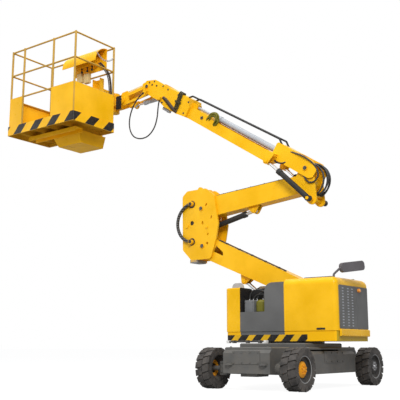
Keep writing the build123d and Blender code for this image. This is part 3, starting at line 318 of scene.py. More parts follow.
# %% [markdown]
# ## Paints
# The machine is mostly one warm yellow, with grey on the chassis and the panels and black on guards and
# cylinders. Each colour could be its own material with its own nodes, but one paint function with a few
# numbers keeps them alike. The front covers are black where they face into the bay, which is read from the
# normal.

# %% Mix the paints
YELLOW = (0.955, 0.505, 0.004)
CHIPPED = (0.62, 0.30, 0.02)
PALE_CHIP = (0.30, 0.30, 0.30)
BLACK = (0.022, 0.021, 0.021)
COVER = (0.955, 0.515, 0.004)
PANEL = (0.130, 0.130, 0.128)


def dark_behind(look, shade):
    """Black on the faces that look back into the bay."""
    return look.mix(look.math("LESS_THAN", look.normal()["X"], -0.7), shade, BLACK)


yellow = paint("yellow_paint", YELLOW, CHIPPED)
cover_yellow = paint("cover_yellow_moulding", COVER, CHIPPED, gloss=0.26)
front_yellow = paint("front_yellow_moulding", COVER, CHIPPED, gloss=0.26, base_socket=dark_behind)
# Painted shade: the basket floor's paint is darker and browner to stand for the shade on its down-facing
# faces.
shaded_floor_yellow = paint("painted_shade_underside_yellow", (0.60, 0.32, 0.012), (0.35, 0.2, 0.03), gloss=0.5)
hub_yellow = paint("hub_yellow", (0.88, 0.36, 0.01), (0.4, 0.2, 0.03), gloss=0.4, dust_top=0.7)
chassis_grey = paint("chassis_grey", (0.118, 0.116, 0.110), PALE_CHIP, gloss=0.42, dust_top=0.75)
panel_grey = paint("panel_grey_moulding", PANEL, (0.24, 0.24, 0.24), gloss=0.48)
rim_grey = paint("rim_grey", (0.045, 0.045, 0.046), (0.2, 0.2, 0.2), gloss=0.45, dust_top=0.8)
guard_black = paint("guard_black", BLACK, (0.12, 0.12, 0.12), gloss=0.4)
barrel_black = paint("cylinder_black", (0.030, 0.029, 0.028), (0.16, 0.15, 0.14), gloss=0.36)
pale_grey = paint("pale_grey", (0.44, 0.46, 0.49), (0.4, 0.4, 0.4), gloss=0.34)
olive = paint("tank_olive", (0.17, 0.155, 0.016), (0.3, 0.28, 0.1), gloss=0.4)
rail_gold = paint("rail_gold", (0.53, 0.31, 0.045), (0.4, 0.25, 0.05), gloss=0.4, wear=0.0)
ring_grey = paint("ring_grey", (0.30, 0.30, 0.30), (0.4, 0.4, 0.4), gloss=0.45)
box_grey = paint("box_grey", (0.20, 0.205, 0.21), (0.3, 0.3, 0.3), gloss=0.4)
cream = paint("cream_moulding", (0.74, 0.58, 0.27), (0.6, 0.5, 0.3), gloss=0.4)
white = paint("white_moulding", (0.70, 0.70, 0.68), (0.6, 0.6, 0.6), gloss=0.3)
clamp_olive = paint("clamp_olive", (0.050, 0.042, 0.016), (0.12, 0.1, 0.05), gloss=0.45)
# Dark brown for the bungs, collars and cables, and painted shade for the band under the boom's front box.
dark_brown_and_shade = paint("dark_brown_and_shade", (0.060, 0.042, 0.030), (0.12, 0.1, 0.08), gloss=0.5)
mirror_grey = paint("mirror_grey", (0.125, 0.115, 0.122), (0.25, 0.25, 0.25), gloss=0.45)
print("paints mixed, the main one is", YELLOW)

# %% [markdown]
# ## Hazard stripes
# The skirt and the toe boards carry slanted black and yellow stripes. They could be cut into the mesh as
# faces, but a stripe is only a repeating ramp along the side of the part, so the paint can draw it: the ramp
# runs along X on faces that look to Y, and along Y on faces that look to X, and it leans with height.

# %% Striped finishes
SKIRT_H = 0.13
STRIPE_H = 0.085
TAIL_YELLOW = (0.50, 0.34, 0.02)


def stripes(pitch, duty, lean, low, high, plain=None, from_x=None, grey_x=None):
    """A layer of slanted black stripes between two heights, for use as a paint's base.

    With a plain colour the stripes start at a place along X, the paint is plain outside them, and between two
    places along X it is grey over them, like the panel above.
    """

    def layer(look, shade):
        x, y, z = look.axes()
        normal = look.normal()
        ends = look.math("GREATER_THAN", look.math("ABSOLUTE", normal["X"]), 0.7)
        along_x = look.math("MULTIPLY", x, look.math("SUBTRACT", 1.0, ends))
        run = look.math("ADD", along_x, look.math("MULTIPLY", y, ends))
        slide = look.math("ADD", run, look.math("MULTIPLY", z, lean))
        part = look.math("FRACT", look.math("DIVIDE", slide, pitch))
        dark = look.math("LESS_THAN", part, duty)
        above = look.math("GREATER_THAN", z, low)
        below = look.math("LESS_THAN", z, high)
        upright = look.math("LESS_THAN", look.math("ABSOLUTE", normal["Z"]), 0.6)
        zone = look.all_of(above, below, upright)
        if plain:
            zone = look.math("MULTIPLY", zone, look.math("GREATER_THAN", x, from_x))
            tail = look.math("LESS_THAN", normal["X"], -0.7)
            panel = look.all_of(upright, look.math("GREATER_THAN", x, grey_x[0]),
                                look.math("LESS_THAN", x, grey_x[1]), look.math("GREATER_THAN", z, high),
                                look.math("LESS_THAN", z, low + SKIRT_H))
            shade = look.mix(zone, look.mix(panel, look.mix(tail, plain, TAIL_YELLOW), PANEL), shade)
        scuffed = look.band(look.noise(30, 4), 0.4, 0.7)
        worn_black = look.mix(scuffed, (0.016, 0.014, 0.013), (0.035, 0.032, 0.03))
        return look.mix(look.math("MULTIPLY", dark, zone), shade, worn_black)

    return layer


toe_low, toe_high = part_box("toe_boards")
toe_layer = stripes(0.40, 0.47, 0.9, toe_low[2] - 1, toe_high[2] + 1)
toe_stripes = paint("toe_stripes", YELLOW, CHIPPED, base_socket=toe_layer)
tray_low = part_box("turntable_base")[0]
STRIPES_END_X = slew.x - 0.43
PANEL_X = (slew.x - 0.098, slew.x + 0.590)
skirt_layer = stripes(0.232, 0.55, 0.9, tray_low[2], tray_low[2] + STRIPE_H,
                      plain=YELLOW, from_x=STRIPES_END_X, grey_x=PANEL_X)
skirt_stripes = paint("skirt_stripes", (0.80, 0.46, 0.012), CHIPPED, base_socket=skirt_layer)
print("stripes on the skirt from", round(tray_low[2], 3), "m up, and on the toe boards")

# %% [markdown]
# ## Rubber, chrome and bare metal
# A solid tyre is grey with dust where its lugs turn. A piston rod is the brightest thing on the machine, and
# cut steel is duller and has a grain. The ribs of the knuckle's hose could be modelled as rings, but a wave
# in the bump and the colour shows them with no extra faces; in the colour the wave is a painted highlight,
# lighter on each rib's crest.

# %% Rubber and metal finishes


def rubber(name, dark, light, dusty=0.6, gloss=0.75, ribs=0.0):
    """Matt rubber: scuffed, with pale dust where it turns at an edge and in large patches, or ribbed, with a
    painted highlight on each rib's crest.
    """
    look = Finish(name)
    look.rough(look.band(look.noise(20, 3), 0.3, 0.7, gloss - 0.1, gloss + 0.12))
    if ribs:
        wave = look.node("ShaderNodeTexWave", wave_type="BANDS", bands_direction="Z")
        wave.inputs["Scale"].default_value = ribs
        look.link(look.coords, wave.inputs["Vector"])
        look.bump(wave.outputs["Fac"], 0.9, 0.010)
        # Painted highlight: the colour follows the ribs' height, lighter on each crest.
        look.colour(look.mix(wave.outputs["Fac"], dark, light))
    else:
        cloud = look.band(look.noise(7, 5, 0.65), 0.36, 0.68)
        shade = look.mix(look.math("MULTIPLY", cloud, dusty), dark, light)
        look.colour(look.mix(look.math("MULTIPLY", look.edges(EDGE_REACH), 0.35), shade, light))
        look.bump(look.noise(120, 4), 0.25, 0.003, 0.004)
    return look.material


def metal(name, colour, gloss):
    """Bare or plated steel, duller in patches, with a fine grain."""
    look = Finish(name)
    look.shader.inputs["Metallic"].default_value = 1.0
    dull = tuple(value * 0.82 for value in colour)
    look.colour(look.mix(look.band(look.noise(14, 4), 0.35, 0.7), dull, colour))
    look.rough(look.band(look.noise(90, 4, 0.7), 0.3, 0.75, gloss * 0.7, gloss * 1.5))
    look.bump(look.noise(320, 3), 0.02, 0.001, 0.002)
    return look.material


tyre_rubber = rubber("tyre_rubber", (0.022, 0.020, 0.019), (0.135, 0.118, 0.105))
hose_rubber = rubber("hose_rubber", (0.012, 0.012, 0.012), (0.07, 0.068, 0.066), dusty=0.3, gloss=0.5)
ribbed_rubber = rubber("ribbed_rubber", (0.010, 0.010, 0.010), (0.09, 0.085, 0.08), gloss=0.45, ribs=9.0)
chrome = metal("rod_chrome", (0.86, 0.87, 0.88), 0.12)
steel = metal("machined_steel", (0.42, 0.42, 0.43), 0.34)
dark_steel = metal("dark_steel", (0.12, 0.115, 0.11), 0.42)
lens = Finish("amber_lens")
lens.colour(lens.mix(lens.band(lens.noise(60, 2), 0.3, 0.7), (0.85, 0.25, 0.02), (0.95, 0.38, 0.06)))
lens.rough(lens.band(lens.noise(40, 2), 0.3, 0.7, 0.15, 0.3))
amber = lens.material
print("rubber, metals and the lens made")

# %% [markdown]
# ## Finishes on the nodes
# Every solid gets one finish. A finish could be set node by node, but the names of like pieces start alike,
# so a short table of name beginnings is enough. The empty beginning at the end catches the yellow pieces.

# %% Give each node its finish
FINISHES = (
    ("tyre_", tyre_rubber), ("rim_", rim_grey), ("hub_front", hub_yellow), ("hub_rear", rim_grey),
    ("chassis_frame", chassis_grey), ("deck_plate", chassis_grey), ("front_axle", chassis_grey),
    ("rear_axle", chassis_grey), ("steering_", chassis_grey), ("slew_ring", dark_steel),
    ("turntable_base", skirt_stripes), ("bay_bulkheads", guard_black), ("basket_rails", rail_gold),
    ("jib_carrier", cream), ("counterweight", chassis_grey), ("battery_block", guard_black),
    ("hood", cover_yellow), ("front_covers", front_yellow), ("side_panels", panel_grey),
    ("tail_grille", panel_grey), ("tail_lamp", amber), ("mirror", mirror_grey), ("valve_bay", olive),
    ("cover_rails", pale_grey), ("level_cylinder", pale_grey), ("guard_bar", guard_black),
    ("knuckle_hose", ribbed_rubber), ("head_hoses", hose_rubber), ("boom_hose", hose_rubber),
    ("hose_clamps", clamp_olive), ("basket_floor", shaded_floor_yellow), ("toe_boards", toe_stripes),
    ("lift_cylinder_rod", chrome), ("arm_cylinder_rod", chrome), ("boom_cylinder_rod", chrome),
    ("jib_cylinder_rod", chrome), ("lift_cylinder_barrel", barrel_black),
    ("arm_cylinder_barrel", barrel_black), ("boom_cylinder_barrel", barrel_black),
    ("jib_cylinder_barrel", pale_grey), ("", yellow),
)
for name, node in frame["nodes"].items():
    look = next(material for start, material in FINISHES if name.startswith(start))
    node.data.materials.clear()
    node.data.materials.append(look)
print("finishes on", len(frame["nodes"]), "nodes")

# %% [markdown]
# ## Small parts
# The solids end where a fitter's work begins. Bolts, pin keepers, pipes and levers could each be an object
# of its own, but that makes hundreds of them. Here a few bmesh operators add them to one mesh per kind and
# place, and that mesh rides on the body of the piece that carries it.

# %% Helpers for small parts


def facing(point, out):
    """A place whose own z axis points out of a surface."""
    return Matrix.Translation(point) @ Vector(out).to_track_quat("Z", "Y").to_matrix().to_4x4()


def disc(shape, place, radius, depth, sides=20, top=None):
    """A round or many-sided pad standing on a place."""
    bmesh.ops.create_cone(shape, cap_ends=True, segments=sides, radius1=radius, radius2=top or radius,
                          depth=depth, matrix=place @ Matrix.Translation((0, 0, depth / 2)))


def bolt(shape, point, out, radius):
    """A hexagon bolt head on its washer."""
    place = facing(point, out)
    disc(shape, place, radius * 1.5, radius * 0.3, 16)
    disc(shape, place @ Matrix.Translation((0, 0, radius * 0.3)), radius, radius * 0.7, 6, radius * 0.9)


def add(name, shape, body, look):
    """Turns a shape into a piece that rides on a body."""
    bmesh.ops.recalc_face_normals(shape, faces=shape.faces)
    mesh = bpy.data.meshes.new(name)
    shape.to_mesh(mesh)
    shape.free()
    mesh.materials.append(look)
    piece = bpy.data.objects.new(name, mesh)
    bpy.context.scene.collection.objects.link(piece)
    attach(piece, body)


# %% [markdown]
# ## Wheel bolts
# A wheel is held by a ring of eight bolts round a turned cap on its hub. The bolts could be linked copies of
# one object, but a loop about the axle puts them in one mesh, which rolls with the wheel as a single piece.

# %% Bolt the wheels on
WHEELS = ("front_left", "front_right", "rear_left", "rear_right")
SUNK = 0.001
HUB_BOLT_R = 0.011


def wheel_side(node):
    """The outer side of a wheel's piece: its centre, the way out, the middle of its face, and its radius."""
    low, high = (Vector(corner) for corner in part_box(node))
    centre = (low + high) / 2
    out = Vector((1 if "right" in node else -1, 0, 0))
    face = Vector((high.x if out.x > 0 else low.x, centre.y, centre.z))
    return centre, out, face, (high.z - low.z) / 2


def bolt_ring(shape, centre, out, spread, radius, first=0.0):
    """Eight bolts in a ring about an axle, the first one at an angle in degrees."""
    for turn in range(8):
        angle = math.radians(first + 45 * turn)
        bolt(shape, centre + Vector((0, math.cos(angle), math.sin(angle))) * spread, out, radius)


for wheel in WHEELS:
    centre, out, face, hub_r = wheel_side("hub_" + wheel)
    seat = face - out * SUNK
    shape = bmesh.new()
    bolt_ring(shape, seat, out, hub_r * 0.50, HUB_BOLT_R, 22.5)
    disc(shape, facing(seat, out), hub_r * 0.26, 0.012, 24, hub_r * 0.20)
    look, slot = (hub_yellow, "machine_yellow") if "front" in wheel else (steel, "bare_steel")
    add("wheel_bolts_" + wheel, shape, "wheel_" + wheel, look)
print("bolted", len(WHEELS), "wheels")

# %% [markdown]
# ## Pin keepers
# Each big pivot pin is kept in place by a small round plate with two bolts on each of its ends. The plates
# could be part of the pins, but a fitter takes them off, so they are pieces of their own, placed from the
# joints.

# %% Keep the pins


def spot(name):
    """The place of a joint in the part's frame."""
    return Vector(joints[name]["pos_m"])


PINS = (("raise_lower_arm", "turntable"), ("keep_knuckle_upright", "arm_knuckle"),
        ("raise_upper_arm", "arm_knuckle"), ("lower_boom", "boom"), ("lower_jib", "boom"),
        ("level_platform", "platform_bracket"))
PIN_END_Y = {"turntable": 0.151, "arm_knuckle": 0.151, "boom": 0.176, "platform_bracket": 0.141}
KEEPER_R = 0.030
KEEPER_T = 0.006
for joint, body in PINS:
    shape = bmesh.new()
    for way in (-1, 1):
        out = Vector((0, way, 0))
        end = spot(joint)
        end.y = slew.y + way * (PIN_END_Y[body] - SUNK)
        disc(shape, facing(end, out), KEEPER_R, KEEPER_T, 28, KEEPER_R * 0.9)
        for shift in (-0.015, 0.015):
            bolt(shape, end + Vector((shift, way * KEEPER_T, 0)), out, 0.006)
    add("pin_keeper_" + joint, shape, body, dark_steel)
print("kept", len(PINS), "pins")

# %% [markdown]
# ## Wheel rims
# A pale ring closes the rim against the tyre, and a yellow bolted flange shows behind each front wheel. A
# torus would be too round for a turned part, so a small profile is spun about the axle.

# %% Ring the rims


def turned(shape, place, profile, steps=48):
    """A ring turned about the z axis of a place, from a closed profile of (radius, height) points."""
    verts = [shape.verts.new(place @ Vector((radius, 0, height))) for radius, height in profile]
    edges = [shape.edges.new(pair) for pair in zip(verts, verts[1:] + verts[:1])]
    axis = place.to_3x3() @ Vector((0, 0, 1))
    bmesh.ops.spin(shape, geom=verts + edges, cent=place.translation, axis=axis, dvec=(0, 0, 0),
                   angle=2 * math.pi, steps=steps, use_merge=True)


RING_PROFILE = ((-0.013, 0.0), (-0.001, 0.0), (-0.001, 0.006), (-0.004, 0.009), (-0.013, 0.006))
FLANGE_PROFILE = ((0.062, 0.0), (0.112, 0.0), (0.112, 0.018), (0.104, 0.026), (0.062, 0.026))
FLANGE_T = 0.026
FLANGE_FACE = 0.019
for wheel in WHEELS:
    centre, out, face, rim_r = wheel_side("rim_" + wheel)
    shape = bmesh.new()
    profile = [(rim_r + inset, height) for inset, height in RING_PROFILE]
    turned(shape, facing(face - out * 0.004, out), profile)
    add("rim_ring_" + wheel, shape, "wheel_" + wheel, ring_grey)
    if "front" in wheel:
        shape = bmesh.new()
        turned(shape, facing(centre + out * FLANGE_FACE, -out), FLANGE_PROFILE)
        bolt_ring(shape, centre + out * (FLANGE_FACE - FLANGE_T), -out, 0.086, 0.009)
        add("inner_flange_" + wheel, shape, "wheel_" + wheel, hub_yellow)
print("ringed", len(WHEELS), "rims")

# %% [markdown]
# ## Chassis plates
# The front of the frame is closed by a bolted plate, and a bolted hatch on each side leads to the drive. The
# plates could be inset faces of the frame, but then they could not be taken off, so each is a thin softened
# box. A ray that looks at the frame finds the wall that it lies on.

# %% Plate the chassis


def at(x, y, z):
    """A place in metres from the foot of the slew axis."""
    return Vector((slew.x + x, slew.y + y, z))


def onto(node, start, aim):
    """The point where a straight look from a start along an aim meets a node."""
    piece = frame["nodes"][node]
    back = piece.matrix_world.inverted()
    hit, place, normal, face = piece.ray_cast(back @ Vector(start), back.to_3x3() @ Vector(aim))
    if not hit:
        raise ValueError("nothing of " + node + " lies there")
    return piece.matrix_world @ place


def block(shape, place, size, soft):
    """A box about a place, its edges softened."""
    made = bmesh.ops.create_cube(shape, size=1.0, matrix=place @ Matrix.Diagonal((*size, 1)))
    edges = list({edge for vert in made["verts"] for edge in vert.link_edges})
    bmesh.ops.bevel(shape, geom=edges, offset=soft, affect="EDGES", segments=2, profile=0.5, material=-1)


def brick(shape, low, high, soft):
    """A box between two corners, its edges softened."""
    low, high = Vector(low), Vector(high)
    block(shape, Matrix.Translation((low + high) / 2), high - low, soft)


INWARD, UP, DOWN = Vector((0, -1, 0)), Vector((0, 0, 1)), Vector((0, 0, -1))
BEDDED = 0.002
FRONT_T = 0.008
HATCH_T = 0.007
PLATE_SOFT = 0.003
PLATE_BOLT_R = 0.008
shape = bmesh.new()
front = onto("chassis_frame", at(0.0, 3.0, 0.40), INWARD).y
brick(shape, (slew.x - 0.20, front - BEDDED, 0.315), (slew.x + 0.20, front + FRONT_T, 0.475), PLATE_SOFT)
for x in (-0.175, -0.06, 0.06, 0.175):
    for z in (0.335, 0.455):
        bolt(shape, (slew.x + x, front + FRONT_T, z), (0, 1, 0), PLATE_BOLT_R)
for way in (-1, 1):
    side = onto("chassis_frame", at(way * 3.0, 0.05, 0.40), (-way, 0, 0)).x
    inner, outer = sorted((side - way * BEDDED, side + way * HATCH_T))
    brick(shape, (inner, slew.y - 0.20, 0.32), (outer, slew.y + 0.32, 0.47), PLATE_SOFT)
    for y in (-0.17, -0.02, 0.14, 0.29):
        for z in (0.34, 0.45):
            bolt(shape, (side + way * HATCH_T, slew.y + y, z), (way, 0, 0), PLATE_BOLT_R)
add("chassis_plates", shape, "chassis", chassis_grey)
print("front plate at", round(front, 3), "last hatch at", round(side, 3))

# %% [markdown]
# ## Deck pipes
# The deck plate is bolted down at its front and back, and two pipes run across its front to the steering,
# held by clamps, with pale plugs at their ends. The pipes could be curves, but they are straight, so plain
# bars do, and clamps and plugs are one softened box each.

# %% Pipe the deck


def rod(shape, start, end, radius, sides=12):
    """A straight round bar between two points."""
    run = Vector(end) - Vector(start)
    disc(shape, facing(start, run), radius, run.length, sides)


deck_low, deck_high = (Vector(corner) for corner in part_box("deck_plate"))
shape = bmesh.new()
for x in (slew.x - 0.27, slew.x + 0.27):
    for y in (deck_low.y + 0.03, deck_high.y - 0.03):
        bolt(shape, (x, y, onto("deck_plate", (x, y, 2.0), DOWN).z), UP, 0.010)
add("deck_bolts", shape, "chassis", dark_steel)
pipe_y = deck_high.y - 0.045
pipe_z = deck_high.z + 0.016
deck_seat = deck_high.z - SUNK


def over_pipes(shape, x, wide, behind, before, rise, soft):
    """A box on the deck over both pipes."""
    brick(shape, (slew.x + x, pipe_y - behind, deck_seat),
          (slew.x + x + wide, pipe_y + before, pipe_z + rise), soft)


shape = bmesh.new()
for back, rise in ((0.0, 0.0), (0.028, 0.004)):
    y, z = pipe_y - back, pipe_z + rise
    rod(shape, (slew.x - 0.22, y, z), (slew.x + 0.30, y, z), 0.009)
add("deck_pipes", shape, "chassis", hose_rubber)
shape = bmesh.new()
for x in (-0.16, 0.02, 0.22):
    over_pipes(shape, x, 0.03, 0.045, 0.016, 0.018, 0.004)
add("deck_clamps", shape, "chassis", dark_steel)
shape = bmesh.new()
for x in (-0.25, 0.30):
    over_pipes(shape, x, 0.04, 0.040, 0.014, 0.016, 0.005)
add("deck_plugs", shape, "chassis", white)
print("deck pipes at", round(pipe_y, 3), round(pipe_z, 3))

# %% [markdown]
# ## Hood
# The hood has a flat latch on each side and a thin rail on each side of its roof. A rail could be a curve,
# but a few straight lengths with a ball at each turn follow the roof, whose height is found by rays.

# %% Fit the hood


def ball(shape, centre, radius, fine=3):
    """A round knob."""
    bmesh.ops.create_icosphere(shape, subdivisions=fine, radius=radius, matrix=Matrix.Translation(centre))


def bent_pipe(shape, points, radius, sides=10):
    """A pipe through points, with a ball at each turn."""
    for start, end in zip(points, points[1:]):
        rod(shape, start, end, radius, sides)
    for point in points[1:-1]:
        ball(shape, point, radius, 2)


shape = bmesh.new()
for way in (-1, 1):
    wall = onto("hood", at(-0.63, way * 2.0, 0.75), (0, -way, 0)).y
    for x0, x1, z0, z1, proud in ((-0.69, -0.57, 0.736, 0.760, 0.005), (-0.655, -0.605, 0.742, 0.754, 0.009)):
        inner, outer = sorted((wall - way * BEDDED, wall + way * proud))
        brick(shape, (slew.x + x0, inner, z0), (slew.x + x1, outer, z1), 0.002)
add("hood_latches", shape, "turntable", guard_black)
RAIL_R = 0.006
RAIL_RISE = 0.012
shape = bmesh.new()
for way in (-1, 1):
    line = [onto("hood", at(x, way * 0.30, 3.0), DOWN) + UP * RAIL_RISE for x in (-0.32, -0.42, -0.58, -0.74)]
    bent_pipe(shape, line, RAIL_R)
    for point in (line[0], line[-1]):
        rod(shape, point - UP * 0.016, point, RAIL_R)
add("hood_rails", shape, "turntable", guard_black)
print("hood wall at", round(wall, 3), "rail ends at", round(line[-1].z, 3))

# %% [markdown]
# ## Tail
# A pale baffle shows through the slots of the tail grille, and a row of small blocks fills the ledge below.
# The baffle could be a glowing face behind the slots, but a thin box shades as the light really falls on it.

# %% Fit the tail
grille_low, grille_high = (Vector(corner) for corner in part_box("tail_grille"))
margin = Vector((0, 0.02, 0.02))
shape = bmesh.new()
brick(shape, (grille_high.x - 0.009, *(grille_low + margin).yz),
      (grille_high.x - 0.004, *(grille_high - margin).yz), 0.001)
add("grille_baffle", shape, "turntable", pale_grey)
TAIL_BLOCKS = ((0.36, 0.05, 0.022), (0.25, 0.03, 0.034), (0.12, 0.07, 0.020), (-0.02, 0.03, 0.038),
               (-0.14, 0.06, 0.024), (-0.28, 0.04, 0.032))
shape = bmesh.new()
ledge_x, ledge_z = tray_low[0], tray_low[2] + SKIRT_H
for y, wide, tall in TAIL_BLOCKS:
    brick(shape, (ledge_x + SUNK, slew.y + y - wide / 2, ledge_z - BEDDED),
          (grille_low.x + BEDDED, slew.y + y + wide / 2, ledge_z + tall), 0.001)
add("tail_plugs", shape, "turntable", box_grey)
print("grille at", tuple(round(v, 3) for v in grille_low), "ledge from", round(ledge_x, 3))

# %% [markdown]
# ## Valve bay
# Over the tank stand a grey switch box and an olive accumulator on a post, and dark hoses with bright end
# fittings arch from them to the tower. Bars would look stiff there, so each hose is a curve with a round
# bevel.

# %% Fill the bay


def hose(name, lines, radius, body, look):
    """One piece of round hoses, each a smooth curve drawn along its points."""
    data = bpy.data.curves.new(name, "CURVE")
    data.dimensions = "3D"
    data.bevel_depth = radius
    data.bevel_resolution = 3
    data.resolution_u = 10
    data.use_fill_caps = True
    for points in lines:
        line = data.splines.new("NURBS")
        line.points.add(len(points) - 1)
        for knot, point in zip(line.points, points):
            knot.co = (*point, 1)
        line.order_u = 3
        line.use_endpoint_u = True
    data.materials.append(look)
    piece = bpy.data.objects.new(name, data)
    bpy.context.scene.collection.objects.link(piece)
    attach(piece, body)
    return piece


COVER_Y = 0.386
shape = bmesh.new()
brick(shape, at(0.43, 0.20, 0.92), at(0.580, 0.38, 1.15), 0.012)
brick(shape, at(0.445, 0.379, 0.96), at(0.565, COVER_Y, 1.135), 0.003)
for x in (0.455, 0.555):
    for z in (0.972, 1.123):
        bolt(shape, at(x, COVER_Y, z), (0, 1, 0), 0.005)
add("bay_box", shape, "turntable", box_grey)
ACCUMULATOR_R = 0.085
shape = bmesh.new()
rod(shape, at(0.375, 0.30, 0.92), at(0.375, 0.30, 0.98), 0.030, 24)
ACCUMULATOR = ((0.975, 0.075, 0.020, ACCUMULATOR_R), (0.995, ACCUMULATOR_R, 0.125, ACCUMULATOR_R),
               (1.12, ACCUMULATOR_R, 0.030, 0.055))
for z, low_r, tall, top_r in ACCUMULATOR:
    disc(shape, facing(at(0.335, 0.30, z), UP), low_r, tall, 32, top_r)
add("bay_accumulator", shape, "turntable", olive)
lines = []
for x, y, top in ((0.45, 0.25, 1.25), (0.50, 0.27, 1.22), (0.55, 0.29, 1.28), (0.335, 0.28, 1.24)):
    lines.append([at(x, y, 1.13), at(x, y, top), at(x - 0.16, y - 0.03, top + 0.02),
                  at(x - 0.30, y - 0.06, top - 0.06), at(0.10 + (x - 0.335) * 0.3, 0.19, 1.05)])
hose("bay_hoses", lines, 0.011, "turntable", hose_rubber)
NUT_T = 0.022
shape = bmesh.new()
for line in lines:
    disc(shape, facing(line[0], UP), 0.016, NUT_T, 6)
    disc(shape, facing(line[0] + UP * NUT_T, UP), 0.013, 0.020, 20)
add("bay_fittings", shape, "turntable", steel)
print("bay filled with", len(lines), "hoses")

# %% [markdown]
# ## Pipes on the arms
# Two thin pipes follow the top of each arm and are held by a clip every quarter of a metre. They could be
# placed from the arm's height, but an arm tapers, so each station is found by looking down at the arm.

# %% Lay the arm pipes


def arm(joint, degrees):
    """Places along an arm: u from its pivot to its far end, v across it, y from the slew axis."""
    base, turn = spot(joint), math.radians(degrees)

    def place(u, v, y):
        return Vector((base.x + u * math.cos(turn) - v * math.sin(turn), slew.y + y,
                       base.z + u * math.sin(turn) + v * math.cos(turn)))

    return place


PIPE_Y = (0.035, 0.068)
CLIP = (0.020, 0.062, 0.040)


def lay_pipes(node, stations):
    """Two pipes along the top of an arm, with clips, seated by looking down at the arm."""
    pipes, clips = bmesh.new(), bmesh.new()
    for y in PIPE_Y:
        line = [onto(node, (point.x, slew.y + y, 9.0), DOWN) + UP * 0.012 for point in stations]
        bent_pipe(pipes, line, 0.006)
        for end in (line[0], line[-1]):
            rod(pipes, end - UP * 0.018, end + UP * 0.004, 0.010)
    for start, end in zip(stations, stations[1:]):
        top = onto(node, ((start.x + end.x) / 2, slew.y + 0.05, 9.0), DOWN)
        turn = (end - start).to_track_quat("X", "Z").to_matrix().to_4x4()
        block(clips, Matrix.Translation(top) @ turn, CLIP, 0.004)
    add(node + "_pipes", pipes, node, hose_rubber)
    add(node + "_clips", clips, node, dark_steel)


on_lower = arm("raise_lower_arm", 24.0)
on_upper = arm("raise_upper_arm", 174.6)
lay_pipes("lower_arm", [on_lower(0.30 + 0.24 * step, 0, 0) for step in range(6)])
lay_pipes("upper_arm", [on_upper(0.25 + 0.24 * step, 0, 0) for step in range(6)])
print("pipes on both arms")

# %% [markdown]
# ## Knuckle fittings
# The ribbed hose ends in capped collars with a dark ring round each, the large hole in each plate is closed
# by a dark bung, and a ribbed pad lies under the knuckle. Rings are spun from a profile, because a cone has
# no hole.

# %% Fit the knuckle
HOLE_X, HOLE_Z = 1.675, 2.364
COLLAR_Z = (2.649, 2.076)
BUNG_T = 0.012
COLLAR_RING = ((0.036, 0.0), (0.058, 0.0), (0.054, 0.006), (0.036, 0.006))
BUNG_RING = ((0.024, 0.0), (0.034, 0.0), (0.031, 0.006), (0.024, 0.006))
shape = bmesh.new()
for z in COLLAR_Z:
    collar = onto("arm_knuckle", at(HOLE_X, 1.0, z), INWARD)
    disc(shape, facing(collar, -INWARD), 0.030, 0.005, 32, 0.026)
    turned(shape, facing(at(HOLE_X, 0.137, z), -INWARD), COLLAR_RING)
for way in (-1, 1):
    place = facing(at(HOLE_X, way * 0.112, HOLE_Z), (0, way, 0))
    disc(shape, place, 0.046, BUNG_T, 40)
    turned(shape, place @ Matrix.Translation((0, 0, BUNG_T)), BUNG_RING)
add("knuckle_bungs", shape, "arm_knuckle", dark_brown_and_shade)
shape = bmesh.new()
brick(shape, at(1.585, -0.10, 1.756), at(1.715, 0.135, 1.806), 0.008)
for rib in range(5):
    x = 1.60 + rib * 0.023
    brick(shape, at(x, 0.134, 1.760), at(x + 0.010, 0.140, 1.800), 0.001)
add("knuckle_pad", shape, "arm_knuckle", ring_grey)
print("knuckle fitted, hole at", HOLE_X, HOLE_Z)

# %% [markdown]
# ## Boom fittings
# Bolts and plugs sit on the boom's walls. They could be placed from the boom's width, but its box and its
# head differ, so each one is found by a ray from the side. Places on the boom are given along it from its
# pivot, and across it.

# %% Bolt the boom
on_boom = arm("lower_boom", 33.0)
BOOM_BOLTS = ((2.44, -0.16), (2.44, 0.03), (2.70, 0.05), (2.95, 0.05), (2.95, -0.18), (3.08, 0.06),
              (3.30, 0.06))
BOOM_PLUGS = ((3.391, 0.005), (3.319, -0.004), (3.217, 0.017))
shape = bmesh.new()
for u, v in BOOM_BOLTS:
    for way in (-1, 1):
        bolt(shape, onto("boom", on_boom(u, v, way * 1.0), (0, -way, 0)), (0, way, 0), 0.010)
add("boom_bolts", shape, "boom", dark_steel)
shape = bmesh.new()
for u, v in BOOM_PLUGS:
    seat = onto("boom", on_boom(u, v, 1.0), INWARD) + INWARD * SUNK
    disc(shape, facing(seat, -INWARD), 0.017, 0.006, 24, 0.014)
add("boom_plugs", shape, "boom", guard_black)
print("boom has", 2 * len(BOOM_BOLTS), "bolts and", len(BOOM_PLUGS), "plugs")

# %% [markdown]
# ## Boom hoses
# A dark brown band along the lower front of the front box is painted shade, standing for the shade under its
# curved underside. Olive hoses bunch beside the levelling cylinder, a pale motor hangs below the front box,
# and dark hoses loop round the boom's foot. Each hose is a curve through a few points given along the boom
# and across it, so that it reads like a sketch of the boom from the side.

